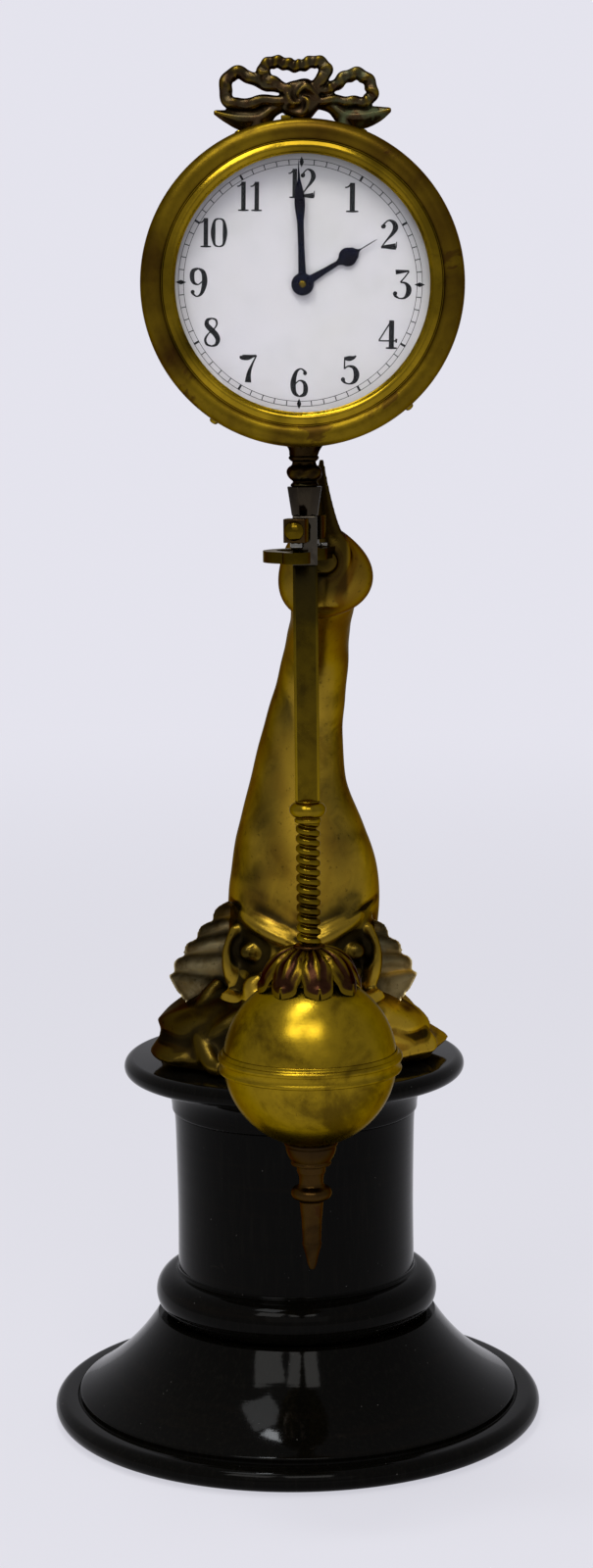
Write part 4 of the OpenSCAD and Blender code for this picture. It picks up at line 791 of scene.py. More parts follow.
class CLOCK_OT_base(bpy.types.Operator):
    """Turned base in three pieces, with its felt, bolt and nut"""

    bl_idname = "clock.base"
    bl_label = "Wooden base"

    def execute(self, context):
        wood = finish("black_wood")
        foot_r = box_mm("base_foot")[1][0]
        foot_low, foot_top = box_mm("base_foot")[0][2], box_mm("base_foot")[1][2]
        cap_r = box_mm("base_cap")[1][0]
        column_top = box_mm("base_column")[1][2]
        flank_start, flank_end = np.array([58.0, foot_low + 7.4]), np.array([37.2, foot_top])
        inward = np.array([flank_start[1] - flank_end[1], flank_end[0] - flank_start[0]])
        inward /= np.linalg.norm(inward)
        flank = [tuple(flank_start + (flank_end - flank_start) * t + inward * 1.8 * 4 * t * (1 - t)) for t in np.linspace(0, 1, 25)]
        foot = [(3.3, foot_low + 10), (12, foot_low + 10), (12, foot_low)]
        foot += arc((foot_r - 2.9, foot_low + 2.9), 2.9, -88, 86, 24)
        foot += [(59.2, foot_low + 5.8), (58.75, foot_low + 5.2), (58.5, foot_low + 5.9), (58.6, foot_low + 7.0)]
        foot += flank + [(36.9, foot_top), (3.3, foot_top)]
        turned("foot_turned", foot, wood, "stand", ("base_foot",), smooth=50, soft=0.5)
        column = [(3.3, foot_top)] + arc((31.6, foot_top + 6), 6, -84, 84, 30)
        column += [(32.2, foot_top + 12.15), (31.75, foot_top + 12.3), (31.55, foot_top + 12.8), (31.6, foot_top + 14)]
        column += [tuple(p) for p in resample([(31.6, foot_top + 14), (31.5, foot_top + 30), (31.8, column_top - 6), (32.1, column_top)], 20)]
        column += [(3.3, column_top)]
        turned("column_turned", column, wood, "stand", ("base_column",), smooth=50, soft=0.3)
        cove = [(32.7 + 5.4 * (1 - math.cos(a)), column_top + 0.7 + 8.0 * math.sin(a)) for a in np.linspace(0, math.pi / 2, 22)]
        cap = [(3.3, column_top), (32.2, column_top), (32.6, column_top + 0.3)] + cove
        cap += [(38.2, BASE_TOP - 5.4), (39.4, BASE_TOP - 5.2)] + arc((cap_r - 2.5, BASE_TOP - 2.5), 2.5, -84, 88, 24)
        cap += [(3.3, BASE_TOP)]
        turned("cap_turned", cap, wood, "stand", ("base_cap",), smooth=50, soft=0.3)
        refinish("base_baize", "felt")
        refinish("figure_bolt", "steel")
        refinish("figure_nut", "steel")
        return {"FINISHED"}


# ---------------------------------------------------------------- figure

BODY_W, BODY_D, FIGURE_H = 39.4, 37.0, 136.7
SPINE = [
    (0.00, -0.75, 0.035, 0.40, 0.34), (0.02, -0.55, 0.075, 0.66, 0.60), (0.05, -0.32, 0.130, 0.86, 0.82),
    (0.09, -0.12, 0.200, 0.96, 0.95), (0.14, 0.02, 0.275, 1.01, 1.00), (0.16, 0.10, 0.345, 1.00, 1.00),
    (0.12, 0.14, 0.430, 0.87, 0.92), (0.10, 0.14, 0.530, 0.65, 0.76), (0.17, 0.08, 0.630, 0.53, 0.62),
    (0.26, -0.06, 0.700, 0.47, 0.54), (0.33, -0.30, 0.760, 0.44, 0.49), (0.37, -0.62, 0.810, 0.41, 0.45),
    (0.40, -1.05, 0.850, 0.39, 0.42), (0.43, -1.50, 0.885, 0.40, 0.40), (0.44, -1.95, 0.920, 0.42, 0.40),
    (0.4365, -2.297, 0.9437, 0.32, 0.32)]


def body_form(rings=180, sides=96):
    """The dolphin's body as rings from the nose up to the tail."""
    s = resample(SPINE, rings)
    middle = np.stack([s[:, 0] * BODY_W / 2, s[:, 1] * BODY_D / 2, BASE_TOP + s[:, 2] * FIGURE_H], 1)
    out = []
    a = np.linspace(0, 2 * np.pi, sides, endpoint=False)[:, None]
    for i in range(rings + 1):
        up = middle[min(i + 1, rings)] - middle[max(i - 1, 0)]
        up /= np.linalg.norm(up)
        front = np.cross([1, 0, 0], up)
        front /= np.linalg.norm(front)
        across = np.cross(up, front)
        wide, deep = s[i, 3] * BODY_W / 2, s[i, 4] * BODY_D / 2
        out.append(middle[i] + wide * np.cos(a) * (1 - 0.06 * np.sin(a)) * across + deep * np.sin(a) * front)
    return np.concatenate(out), ring_faces(rings + 1, sides)


def face_forms():
    """Brows, lidded eyes, gills, snout with nostrils, cheeks and rolled lips, in the face's own frame."""
    forms = []
    for way in (-1, 1):
        rolls = [
            [(0.8, -0.4, 5.4, 2.0), (5.0, 0.4, 7.4, 2.6), (9.8, 2.8, 9.6, 2.6), (13.6, 6.4, 11.4, 2.0), (15.6, 9.6, 13.0, 1.1)],
            [(10.4, 1.2, -2.8, 2.2), (12.4, 1.4, -6.2, 3.2), (10.8, 0.2, -9.5, 2.4)],
            [(3.8, -3.8, -0.6, 1.2), (6.6, -3.0, -4.2, 1.8), (8.4, -1.8, -8.0, 1.3)],
            [(17.0, 8.8, 9.0, 1.4), (18.4, 8.9, 3.0, 2.3), (18.4, 9.0, -3.0, 2.5), (17.2, 9.0, -8.5, 1.7)],
            [(7.0, -2.6, -11.5, 2.2), (12.0, 0.8, -12.0, 3.0), (17.0, 4.9, -11.0, 2.8), (20.4, 7.9, -9.4, 1.9)]]
        forms.append(ball_form((way * 13.8, 4.9, 2.7), (3.1, 3.1, 2.8)))
        forms.append(ball_form((way * 2.1, -7.6, -6.4), (1.5, 1.0, 1.1), 20 * way, 18, 10))
        forms += [roll_form([(way * x, y, z, r) for x, y, z, r in roll], 36, 16) for roll in rolls]
    forms.append(roll_form([(0, 1.5, 7.5, 2.2), (0, -2, 1.5, 3.4), (0, -4.5, -4, 4.4), (0, -4.4, -9, 4.2)], 40, 24))
    upper = [(-17, 6, -10, 1.4), (-12, -0.5, -8.6, 2.4), (-5, -5.6, -11, 2.6), (0, -7, -12, 2.8), (5, -5.6, -11, 2.6), (12, -0.5, -8.6, 2.4), (17, 6, -10, 1.4)]
    forms.append(roll_form(upper, 90, 20))
    lower = [(-14, 5, -14.6, 1.6), (-8, -1.2, -14.4, 2.2), (0, -4.2, -15.2, 2.6), (8, -1.2, -14.4, 2.2), (14, 5, -14.6, 1.6)]
    forms.append(roll_form(lower, 70, 18))
    at = np.array([0.06 * BODY_W, -0.5 * BODY_D, BASE_TOP + 0.2 * FIGURE_H])
    return [(p + at, f) for p, f in forms]


def wave(x, centre, width):
    """A soft round bump of height 1."""
    return np.exp(-((x - centre) / width) ** 2)


def body_detail(p, n):
    """Eye hollows, a crease under the brows, a back ridge and soft unevenness."""
    x, y, z = p[:, 0] - 0.06 * BODY_W, p[:, 1], p[:, 2] - BASE_TOP - 0.2 * FIGURE_H
    front = 1 / (1 + np.exp((y + 4) / 1.5))
    hollow = np.zeros(len(p))
    for way in (-1, 1):
        apart = np.hypot((x - way * 13.8) / 4.3, (z - 2.8) / 3.8)
        round_eye = np.arctan2(z - 2.8, way * (x - way * 13.8))
        hollow -= (0.85 + 0.45 * np.sin(round_eye + 2.2)) * np.exp(-((apart - 1) / 0.34) ** 2)
        crease = (z - 6.6 - 0.42 * np.abs(x)) / 0.9
        hollow -= 0.4 * np.exp(-crease ** 2) * (np.sign(x) == way)
    side = np.arctan2(x, -(y - 1.0))
    up = p[:, 2] - BASE_TOP
    back = 0.7 * wave(np.abs(side), math.pi, 0.12) * (0.6 + 0.4 * np.sin(up * 0.9)) * (up > 20) * (up < 110)
    uneven = 0.10 * np.sin(0.31 * p[:, 0] + 0.17 * up) * np.sin(0.27 * p[:, 1] - 0.2 * up + 1.3)
    return hollow * front + back + uneven


def body_tarnish(p):
    """Painted shade round the eyes, down the left flank, under the brows and low beside the fins, with darker streaks
    on the right and a darker upper body.
    """
    x, z = p[:, 0] - 0.06 * BODY_W, p[:, 2] - BASE_TOP
    dark = np.zeros(len(p))
    for way in (-1, 1):
        dark += 0.85 * np.exp(-((x - way * 15.0) / 4.2) ** 2 - ((z - 29.5) / 5.5) ** 2)
        dark += 0.5 * np.exp(-((x - way * 8.0) / 5.0) ** 2 - ((z - 25.0) / 4.0) ** 2)
    dark += 0.5 * np.exp(-((np.abs(x) - 8.0) / 9.0) ** 2 - ((z - 36.0) / 4.5) ** 2)
    dark += 0.5 * np.exp(-((np.abs(x) - 18.0) / 3.5) ** 2 - ((z - 29.0) / 9.0) ** 2)
    streak = 0.5 + 0.5 * np.sin(0.55 * x + 0.07 * z + 1.2 * np.sin(0.11 * z))
    dark += 0.36 * step(-x, 1.0, 9.0) * (0.3 + 0.7 * streak) * step(z, 34, 50)
    dark += 0.22 * step(x, 3.0, 9.0) * streak * step(z, 50, 90)
    dark += 0.34 * step(z, 70, 104)
    return dark


def tail_tarnish(p):
    """Painted shade: the blade and the top of the knot are nearly black and the rest a little darker; the knot's right
    side is not nearly black.
    """
    x, z = p[:, 0] - TAIL_AT[0], p[:, 2] - TAIL_AT[2]
    blade = 0.92 * step(x, -3.4, -1.4) * (1 - step(x, 5.2, 6.6)) * step(z, -9, -3) + 0.9 * step(z, 9.5, 12.5)
    return np.maximum(0.3, blade)


def fin_tarnish(p):
    """Painted shade: the left fin is darker than the right."""
    return 0.5 * step(-p[:, 0], -4, 4)


def plinth_tarnish(p):
    """Painted shade: the waves are dark on the left, apart from their lower lip, and paler on the right; all are a
    little darker near the top.
    """
    x, z = p[:, 0], p[:, 2] - BASE_TOP
    return 0.98 * step(-x, 0, 8) * step(z, 1.5, 3.5) + 0.1 * step(z, 9, 14)


def wave_form(sides=240, rows=110):
    """The plinth: folded waves that swell round the dolphin's chin."""
    folds = [
        (0.80, 0, 0.02, 0), (0.93, 0.06, 0.05, 20), (1.02, 0.18, 0.06, 40), (0.98, 0.3, 0.07, 60),
        (0.93, 0.42, 0.05, 80), (0.92, 0.56, 0.06, 100), (0.86, 0.72, 0.05, 120), (0.72, 0.88, 0.04, 140),
        (0.5, 1, 0.02, 160)]
    s = resample(folds, rows)
    a = -np.linspace(0, 2 * np.pi, sides, endpoint=False)
    radius, height = 37.5, 18.5
    out = []
    for scale, up, swell, turn in s:
        t = math.radians(turn)
        r = radius * scale * (1 + swell * np.cos(5 * a + t) + 0.4 * swell * np.cos(9 * a - t))
        crest = np.sin(4.5 * a - 3.2 * up + 0.9 * np.sin(3 * a))
        fine = np.sin(9 * a - 5 * up + 1.4 * np.sin(5 * a + 2 * up))
        r = r + (1.7 * (1 - np.abs(crest)) ** 1.6 + 0.3 * fine - 0.7) * min(1, 6 * up) * min(1, 4 * (1.02 - up))
        out.append(np.stack([r * np.cos(a), 0.94 * r * np.sin(a), np.full(sides, BASE_TOP + 0.02 + up * height)], 1))
    return np.concatenate(out), ring_faces(rows + 1, sides)


def swell_forms():
    """Rolled waves that sweep down and round the plinth, each with a lifted lip."""
    forms, count = [], 9
    for k in range(count):
        start = 2 * math.pi * k / count + 0.25 * math.sin(2 * k)
        stations = []
        for t in np.linspace(0, 1.04, 10):
            a = start + 0.8 * t
            r = 19 + 17 * min(t, 1) ** 0.8 + 0.8 * math.sin(3 * k) + 5 * max(0, t - 1)
            lift = 17.5 * (1 - min(t, 1)) ** 1.25 + 2.7 + 9 * max(0, t - 1)
            size = 1.2 + 2.5 * math.sin(math.pi * min(1, 0.12 + 0.78 * t)) * (0.8 + 0.2 * (k % 2))
            stations.append((r * math.cos(a), 0.94 * r * math.sin(a), BASE_TOP + lift - 0.4, max(0.9, size)))
        forms.append(roll_form(stations, 54, 18))
    return forms


def fin_form(way):
    """One fin: a fan of five rolled rays with a scalloped edge."""
    steps, rows = 150, 26
    rays, thick, span = 5, 4.0, 66.0
    fin_x, top, low = 0.4 * BODY_W, BASE_TOP + 0.3 * FIGURE_H, BASE_TOP + 0.115 * FIGURE_H
    grid = {}
    for face in (-1, 1):
        sheet = []
        for t in np.linspace(0, 1, steps + 1):
            swell = 1.6 * abs(math.sin(math.pi * rays * t)) - 0.8
            out_x = (fin_x + 1.5) + (span / 2 - fin_x - 1.5) * (0.5 * math.sin(math.pi / 2 * min(1, 1.15 * t)) + 0.5 * min(1, 1.06 * t))
            edge = np.array([out_x, (top + 2) + (low + 4 - top - 2) * t ** 0.9])
            root = np.array([fin_x - 2, (top - 2) + (low - 3 - top + 2) * t ** 1.9])
            close = np.array([-4.5, -4.5]) * max(0, (t - 0.87) / 0.13)
            row = []
            for s in np.linspace(0, 1, rows + 1):
                rim = edge + close + swell * np.array([0.7, 0.5]) * s
                at = root + (rim - root) * s
                ray = abs(math.cos(math.pi * rays * t))
                body = thick * (0.5 - 0.36 * s)
                relief = -0.8 * ray ** 1.5 * math.sin(math.pi * min(1, s * 1.05)) if face < 0 else 0.4 * ray * math.sin(math.pi * s)
                curl = -1.1 * s ** 6
                row.append((way * at[0], -1 - 5 * s * s + curl + face * body * 0.62 + relief, at[1]))
            sheet.append(row)
        grid[face] = np.array(sheet)
    n, m = steps + 1, rows + 1
    points = np.concatenate([grid[-1].reshape(-1, 3), grid[1].reshape(-1, 3)])
    faces = []
    for i in range(n - 1):
        for j in range(m - 1):
            a, b = i * m + j, (i + 1) * m + j
            faces.append((a, a + 1, b + 1, b))
            faces.append((n * m + a, n * m + b, n * m + b + 1, n * m + a + 1))
    for j in range(m - 1):
        faces.append((j, n * m + j, n * m + j + 1, j + 1))
        a = (n - 1) * m + j
        faces.append((a, a + 1, n * m + a + 1, n * m + a))
    for i in range(n - 1):
        a, b = i * m, (i + 1) * m
        faces.append((a, b, n * m + b, n * m + a))
        a, b = i * m + m - 1, (i + 1) * m + m - 1
        faces.append((a, n * m + a, n * m + b, b))
    return points, faces


TAIL_AT = np.array([8.6, -44.0, 229.1])


def tail_forms():
    """The curled tail: a round knot, the blade that sweeps up, and the root of the hook."""
    def rings(stations, n, sides, shape):
        path = resample(stations, n)
        a = -np.linspace(0, 2 * np.pi, sides, endpoint=False)
        return np.concatenate([TAIL_AT + shape(s, a) for s in path]), ring_faces(n + 1, sides)

    def knot(s, a):
        lobe = 1 + 0.06 * np.cos(3 * a + math.radians(40))
        return np.stack([11.6 * s[2] * lobe * np.cos(a), np.full(len(a), s[1]), 11.6 * s[2] * lobe * np.sin(a)], 1)

    def blade(s, a):
        return np.stack([s[0] + s[3] * np.cos(a), s[1] + 0.62 * s[3] * np.sin(a), np.full(len(a), s[2])], 1)

    def root(s, a):
        return np.stack([s[0] + s[3] * np.cos(a), np.full(len(a), s[1]), s[2] + 0.8 * s[3] * np.sin(a)], 1)

    forms = [
        rings([(0, 5.9, 0.30), (0, 5.2, 0.62), (0, 3.5, 0.93), (0, 0, 1), (0, -3.5, 0.9), (0, -6.3, 0.62), (0, -7.0, 0.3)], 36, 72, knot),
        rings([(0.5, -4.5, -8, 3), (1.3, -5.5, -3.3, 3.6), (2.5, -6.5, 2.7, 4), (2.4, -6.5, 7.3, 3.9), (1, -5.5, 11.1, 3.2),
               (0.4, -4, 15.8, 2.3), (-0.2, -2, 22, 1.5), (-0.3, 0, 27.9, 0.6)], 60, 36, blade),
        rings([(0.6, -4, 1.5, 4.4), (-0.2, -8.5, 2.8, 3.9), (-0.4, -11.6, 3.6, 3.5)], 16, 36, root)]
    swirl = []
    for t in np.linspace(0, 1, 14):
        a = math.radians(-60 + 330 * t)
        r = 9.6 * (1 - 0.62 * t)
        swirl.append((TAIL_AT[0] + r * math.cos(a), TAIL_AT[1] + 3.2 + 1.9 * t, TAIL_AT[2] + r * math.sin(a), 2.0 - 0.9 * t))
    forms.append(roll_form(swirl, 90, 14))
    return forms


class CLOCK_OT_figure(bpy.types.Operator):
    """Cast gilt dolphin, its fins and tail, and the plinth of waves"""

    bl_idname = "clock.figure"
    bl_label = "Dolphin figure"

    def execute(self, context):
        voxel = sizes().carve_voxel
        gilt, waves = finish("body_gilt"), finish("wave_gilt")
        cast("dolphin_cast", [body_form()] + face_forms(), voxel, 6, gilt, "stand", ("dolphin_body",), body_detail, 30, 40, body_tarnish)
        cast("plinth_cast", [wave_form()] + swell_forms(), voxel, 5, waves, "stand", ("wave_mount",), None, 26, 16, plinth_tarnish)
        cast("fin_left_cast", [fin_form(-1)], 0.8 * voxel, 5, finish("fin_gilt"), "stand", ("fin_left",), None, 12, 0, fin_tarnish)
        cast("fin_right_cast", [fin_form(1)], 0.8 * voxel, 5, finish("fin_gilt"), "stand", ("fin_right",), None, 12)
        cast("tail_cast", tail_forms(), 0.8 * voxel, 4, finish("tail_gilt"), "stand", ("tail_fluke",), None, 18, 12, tail_tarnish)
        return {"FINISHED"}


# ---------------------------------------------------------------- suspension


class CLOCK_OT_suspension(bpy.types.Operator):
    """Hook, carrier, blocks, pins, ferrule and neck"""

    bl_idname = "clock.suspension"
    bl_label = "Hook and pivot"

    def execute(self, context):
        softened("hook_filed", "support_hook", finish("hook_brass"), "stand", 0.0005, 4, 50)
        softened("hook_screw", "hook_screws", finish("steel"), "stand", 0.0002, 3, 40)
        softened("carrier_filed", "carrier", finish("carrier_steel"), "pendulum", 0.00035, 3, 35)
        softened("cross_bar_turned", "cross_bar", finish("carrier_steel"), "pendulum", 0.0002, 3, 40)
        softened("pivot_blocks_filed", "pivot_blocks", finish("block_bronze"), "pendulum", 0.0003, 3, 35)
        softened("block_screw_heads", "block_screws", finish("screw_brass"), "pendulum", 0.00025, 3, 50)
        softened("pivot_pins_turned", "pivot_pins", finish("steel"), "pendulum", 0.00012, 2, 40)
        softened("ferrule_filed", "ferrule", finish("dark_steel"), "pendulum", 0.00025, 3, 30)
        ring_z = box_mm("ferrule")[1][2] - PIVOT_Z
        drum_z = HEAD_Z - DRUM_R - PIVOT_Z
        h = drum_z - ring_z
        profile = [(0, ring_z), (3.0, ring_z), (3.35, ring_z + 0.25), (3.1, ring_z + 0.7), (2.75, ring_z + 0.1 * h)]
        profile += arc((2.2, ring_z + 0.3 * h), 1.95, -66, 66, 14)
        profile += [(2.85, ring_z + 0.5 * h), (2.75, ring_z + 0.54 * h), (3.3, ring_z + 0.58 * h), (3.6, ring_z + 0.63 * h), (3.3, ring_z + 0.68 * h)]
        profile += [(3.45 + 1.6 * t * t, ring_z + (0.7 + 0.26 * t) * h) for t in np.linspace(0, 1, 9)]
        profile += [(5.2, drum_z), (5.2, drum_z + 1.9), (0, drum_z + 1.9)]
        points, faces = lathe_points(rounded(profile, 0.2), 96)
        a = np.arctan2(points[:, 1], points[:, 0])
        uneven = 1 + 0.025 * np.sin(3 * a + 0.8 * points[:, 2]) + 0.02 * np.sin(7 * a - 1.7 * points[:, 2])
        points[:, :2] *= uneven[:, None]
        neck = to_object("neck_cast", to_mesh("neck_cast", on_pendulum(points), faces))
        mark_hollows(neck.data, 6)
        finished(neck, finish("neck_bronze"), "pendulum", ("neck",), 50)
        return {"FINISHED"}


# ---------------------------------------------------------------- clock head

COVER_F, DIAL_F, DIAL_TOP, GLASS_F, BEZEL_F = -11.7, 5.2, 6.0, 10.1, 13.5
BOW_W, BOW_H = 41.6, 16.8


def dial_height(r):
    """How far the domed dial stands forward at a radius."""
    return DIAL_TOP + 0.3 * np.maximum(0, 1 - (r / 33.0) ** 2)


def ribbon_form(stations, thick, back, n=110, sides=22, rope=0, groove=0.0):
    """A folded ribbon along stations of place across, height and width."""
    path = resample(stations, n)
    flat = np.stack([path[:, 0] * BOW_W / 2, path[:, 1] * BOW_H], 1)
    rings = []
    a = np.linspace(0, 2 * np.pi, sides, endpoint=False)
    for i in range(n + 1):
        way = flat[min(i + 1, n)] - flat[max(i - 1, 0)]
        way /= np.linalg.norm(way)
        out = np.array([way[1], -way[0]])
        swell = 1 + (0.13 * np.cos(2 * math.pi * rope * i / n - a) if rope else 0)
        w = path[i, 2] / 2 * swell * 1.16
        u = np.sign(np.cos(a)) * np.abs(np.cos(a)) ** 0.8
        v = np.sign(np.sin(a)) * np.abs(np.sin(a)) ** 0.8
        front = thick / 2 * swell * (1 - groove * np.exp(-(u / 0.3) ** 2))
        depth = np.where(v > 0, -front * v, -thick / 2 * 0.55 * v)
        rings.append(np.stack([flat[i, 0] + w * u * out[0], back + depth, flat[i, 1] + w * u * out[1]], 1))
    return np.concatenate(rings), ring_faces(n + 1, sides)


def knot_form():
    """The rose-like knot in the middle of the bow."""
    sides, rows, radius = 72, 26, 4.8
    a = np.linspace(0, 2 * np.pi, sides, endpoint=False)
    rings = []
    for s in np.linspace(0.02, 1, rows):
        height = 3.1 * math.sqrt(max(0, 1 - s ** 4)) * (0.75 + 0.25 * s)
        swirl = 0.55 * np.sin(3 * a + 7.5 * s) * min(1, 3 * s) * (1 - s ** 3)
        r = radius * s * (1 + 0.05 * np.sin(5 * a + 2))
        rings.append(np.stack([r * np.cos(a), -(height + swirl), r * np.sin(a)], 1))
    for s in np.linspace(1, 0.02, 6):
        r = radius * s * (1 + 0.05 * np.sin(5 * a + 2))
        rings.append(np.stack([r * np.cos(a), np.full(sides, 2.4), r * np.sin(a)], 1))
    points = np.concatenate(rings) + np.array([0, 0, 0.38 * BOW_H])
    return points, ring_faces(len(rings), sides)


def bow_forms():
    left_loop = [(-0.13, 0.35, 2), (-0.34, 0.37, 2.4), (-0.55, 0.33, 2.7), (-0.74, 0.32, 2.7), (-0.835, 0.45, 2.7), (-0.82, 0.64, 2.7),
                 (-0.73, 0.75, 2.7), (-0.6, 0.71, 2.6), (-0.46, 0.62, 2.5), (-0.31, 0.56, 2.3), (-0.12, 0.5, 2)]
    right_loop = [(0.13, 0.5, 2), (0.29, 0.5, 2.2), (0.39, 0.57, 2.4), (0.51, 0.68, 2.6), (0.65, 0.715, 2.6), (0.76, 0.62, 2.6),
                  (0.8, 0.46, 2.6), (0.73, 0.34, 2.5), (0.56, 0.34, 2.3), (0.36, 0.36, 2.2), (0.13, 0.34, 2)]
    top = [(-0.11, 0.49, 2.4), (-0.29, 0.6, 2.5), (-0.4, 0.71, 2.6), (-0.4, 0.82, 2.6), (-0.3, 0.885, 2.6), (-0.18, 0.865, 2.6),
           (-0.06, 0.83, 2.5), (0.04, 0.845, 2.5), (0.16, 0.885, 2.6), (0.265, 0.83, 2.7), (0.27, 0.7, 2.7), (0.1, 0.49, 2.4)]
    left_tail = [(-0.1, 0.34, 2), (-0.31, 0.25, 3), (-0.45, 0.13, 4.2), (-0.64, 0.115, 4.4), (-0.81, 0.16, 2.8), (-0.97, 0.224, 0.8)]
    right_tail = [(0.1, 0.34, 2), (0.34, 0.28, 2.6), (0.51, 0.14, 4.4), (0.68, 0.13, 4.6), (0.86, 0.175, 3.2), (1.01, 0.235, 0.8)]
    forms = [
        ribbon_form(left_loop, 4.2, 0, rope=7, groove=0.05), ribbon_form(right_loop, 4.4, 0.05, rope=9, groove=0.05),
        ribbon_form(top, 3.9, -0.6, rope=11, groove=0.1), ribbon_form(left_tail, 3.4, 0.6, groove=-0.35),
        ribbon_form(right_tail, 3.6, 0.65, groove=-0.35), knot_form()]
    for way in (-1, 1):
        forms.append(roll_form([(way * 10.1, 0, -2.4, 1.7), (way * 10.1, 0, 0.5, 1.6), (way * 9.8, 0, 2.6, 1.5)], 16, 14))
    return forms


DIGITS = {
    "0": [[(0.30, 0.985, .03), (0.13, 0.90, .07), (0.075, 0.5, .15), (0.13, 0.10, .07), (0.30, 0.015, .03)],
          [(0.30, 0.985, .03), (0.47, 0.90, .07), (0.525, 0.5, .15), (0.47, 0.10, .07), (0.30, 0.015, .03)]],
    "1": [[(0.30, 1.0, .14), (0.30, 0.5, .14), (0.30, 0.02, .14)], [(0.10, 0.015, .03), (0.30, 0.015, .05), (0.50, 0.015, .03)],
          [(0.06, 0.84, .03), (0.16, 0.86, .035), (0.28, 0.985, .05)]],
    "2": [[(0.10, 0.76, .13), (0.13, 0.80, .10), (0.14, 0.87, .04), (0.28, 0.985, .035), (0.44, 0.91, .11), (0.50, 0.74, .15), (0.42, 0.55, .10), (0.22, 0.30, .04), (0.06, 0.07, .03)],
          [(0.04, 0.05, .05), (0.20, 0.075, .10), (0.38, 0.075, .15), (0.52, 0.09, .18)], [(0.535, 0.03, .02), (0.545, 0.25, .015)]],
    "3": [[(0.08, 0.93, .13), (0.2, 0.94, .11), (0.52, 0.975, .035)], [(0.52, 0.96, .03), (0.40, 0.78, .03), (0.24, 0.575, .035)],
          [(0.24, 0.57, .03), (0.40, 0.55, .06), (0.51, 0.40, .14), (0.50, 0.20, .14), (0.38, 0.04, .06), (0.22, 0.02, .03), (0.09, 0.10, .07), (0.07, 0.20, .13)]],
    "4": [[(0.42, 0.98, .14), (0.42, 0.5, .14), (0.42, 0.02, .14)], [(0.42, 0.98, .03), (0.20, 0.60, .03), (0.01, 0.27, .03)],
          [(0.01, 0.265, .03), (0.30, 0.265, .03), (0.58, 0.265, .03)], [(0.24, 0.015, .03), (0.42, 0.015, .05), (0.60, 0.015, .03)], [(0.575, 0.20, .03), (0.58, 0.34, .05)]],
    "5": [[(0.10, 0.90, .06), (0.26, 0.90, .14), (0.40, 0.93, .09), (0.49, 1.0, .03)], [(0.12, 0.95, .03), (0.115, 0.7, .03), (0.11, 0.53, .03)],
          [(0.11, 0.54, .03), (0.24, 0.63, .04), (0.42, 0.58, .10), (0.51, 0.36, .16), (0.46, 0.13, .12), (0.30, 0.015, .035), (0.13, 0.06, .05), (0.06, 0.18, .13)]],
    "6": [[(0.49, 0.82, .12), (0.47, 0.90, .06), (0.34, 0.985, .03), (0.19, 0.86, .09), (0.10, 0.50, .15), (0.14, 0.16, .12), (0.30, 0.015, .035)],
          [(0.30, 0.015, .035), (0.47, 0.10, .11), (0.51, 0.30, .13), (0.46, 0.50, .09), (0.31, 0.575, .03), (0.17, 0.46, .03)]],
    "7": [[(0.06, 0.955, .03), (0.07, 0.91, .13), (0.26, 0.90, .15), (0.42, 0.94, .08), (0.55, 0.975, .03)], [(0.55, 0.97, .03), (0.42, 0.68, .05), (0.31, 0.36, .11), (0.28, 0.03, .18)]],
    "8": [[(0.30, 0.985, .03), (0.16, 0.92, .09), (0.14, 0.76, .13), (0.27, 0.60, .15), (0.43, 0.42, .15), (0.50, 0.24, .13), (0.44, 0.07, .08), (0.30, 0.015, .03)],
          [(0.30, 0.985, .03), (0.43, 0.93, .05), (0.46, 0.77, .04), (0.36, 0.60, .03), (0.20, 0.46, .035), (0.09, 0.26, .06), (0.14, 0.08, .06), (0.30, 0.015, .03)]],
    "9": [[(0.11, 0.18, .12), (0.13, 0.10, .06), (0.26, 0.015, .03), (0.41, 0.14, .09), (0.50, 0.50, .15), (0.46, 0.84, .12), (0.30, 0.985, .035)],
          [(0.30, 0.985, .035), (0.13, 0.90, .11), (0.09, 0.70, .13), (0.14, 0.50, .09), (0.29, 0.425, .03), (0.43, 0.54, .03)]],
}


def stroke(points, faces, path, n, raise_by):
    """Adds one pen stroke of changing width to the lists, lying on the dial."""
    p = resample(path, n)
    p[:, 2] = 1.18 * np.maximum(p[:, 2], 0) + 0.1
    start = len(points)
    for i in range(n + 1):
        way = p[min(i + 1, n), :2] - p[max(i - 1, 0), :2]
        way = way / max(np.linalg.norm(way), 1e-9)
        across = np.array([-way[1], way[0]]) * p[i, 2] / 2
        for edge in (p[i, :2] - across, p[i, :2] + across):
            r = math.hypot(*edge)
            points.append((edge[0], edge[1], float(dial_height(r)) + raise_by))
    faces += [(start + 2 * i, start + 2 * i + 2, start + 2 * i + 3, start + 2 * i + 1) for i in range(n)]
    return points, faces


def dot(points, faces, x, y, r, raise_by):
    """Adds a round end of a stroke."""
    start = len(points)
    for a in np.linspace(0, 2 * np.pi, 18, endpoint=False):
        px, py = x + r * math.cos(a), y + r * math.sin(a)
        points.append((px, py, float(dial_height(math.hypot(px, py))) + raise_by))
    faces.append(tuple(range(start, start + 18)))


BALLS = {"2": (0.10, 0.77, 0.075), "3": (0.075, 0.19, 0.075), "5": (0.07, 0.17, 0.075), "6": (0.485, 0.83, 0.07), "9": (0.115, 0.17, 0.07)}


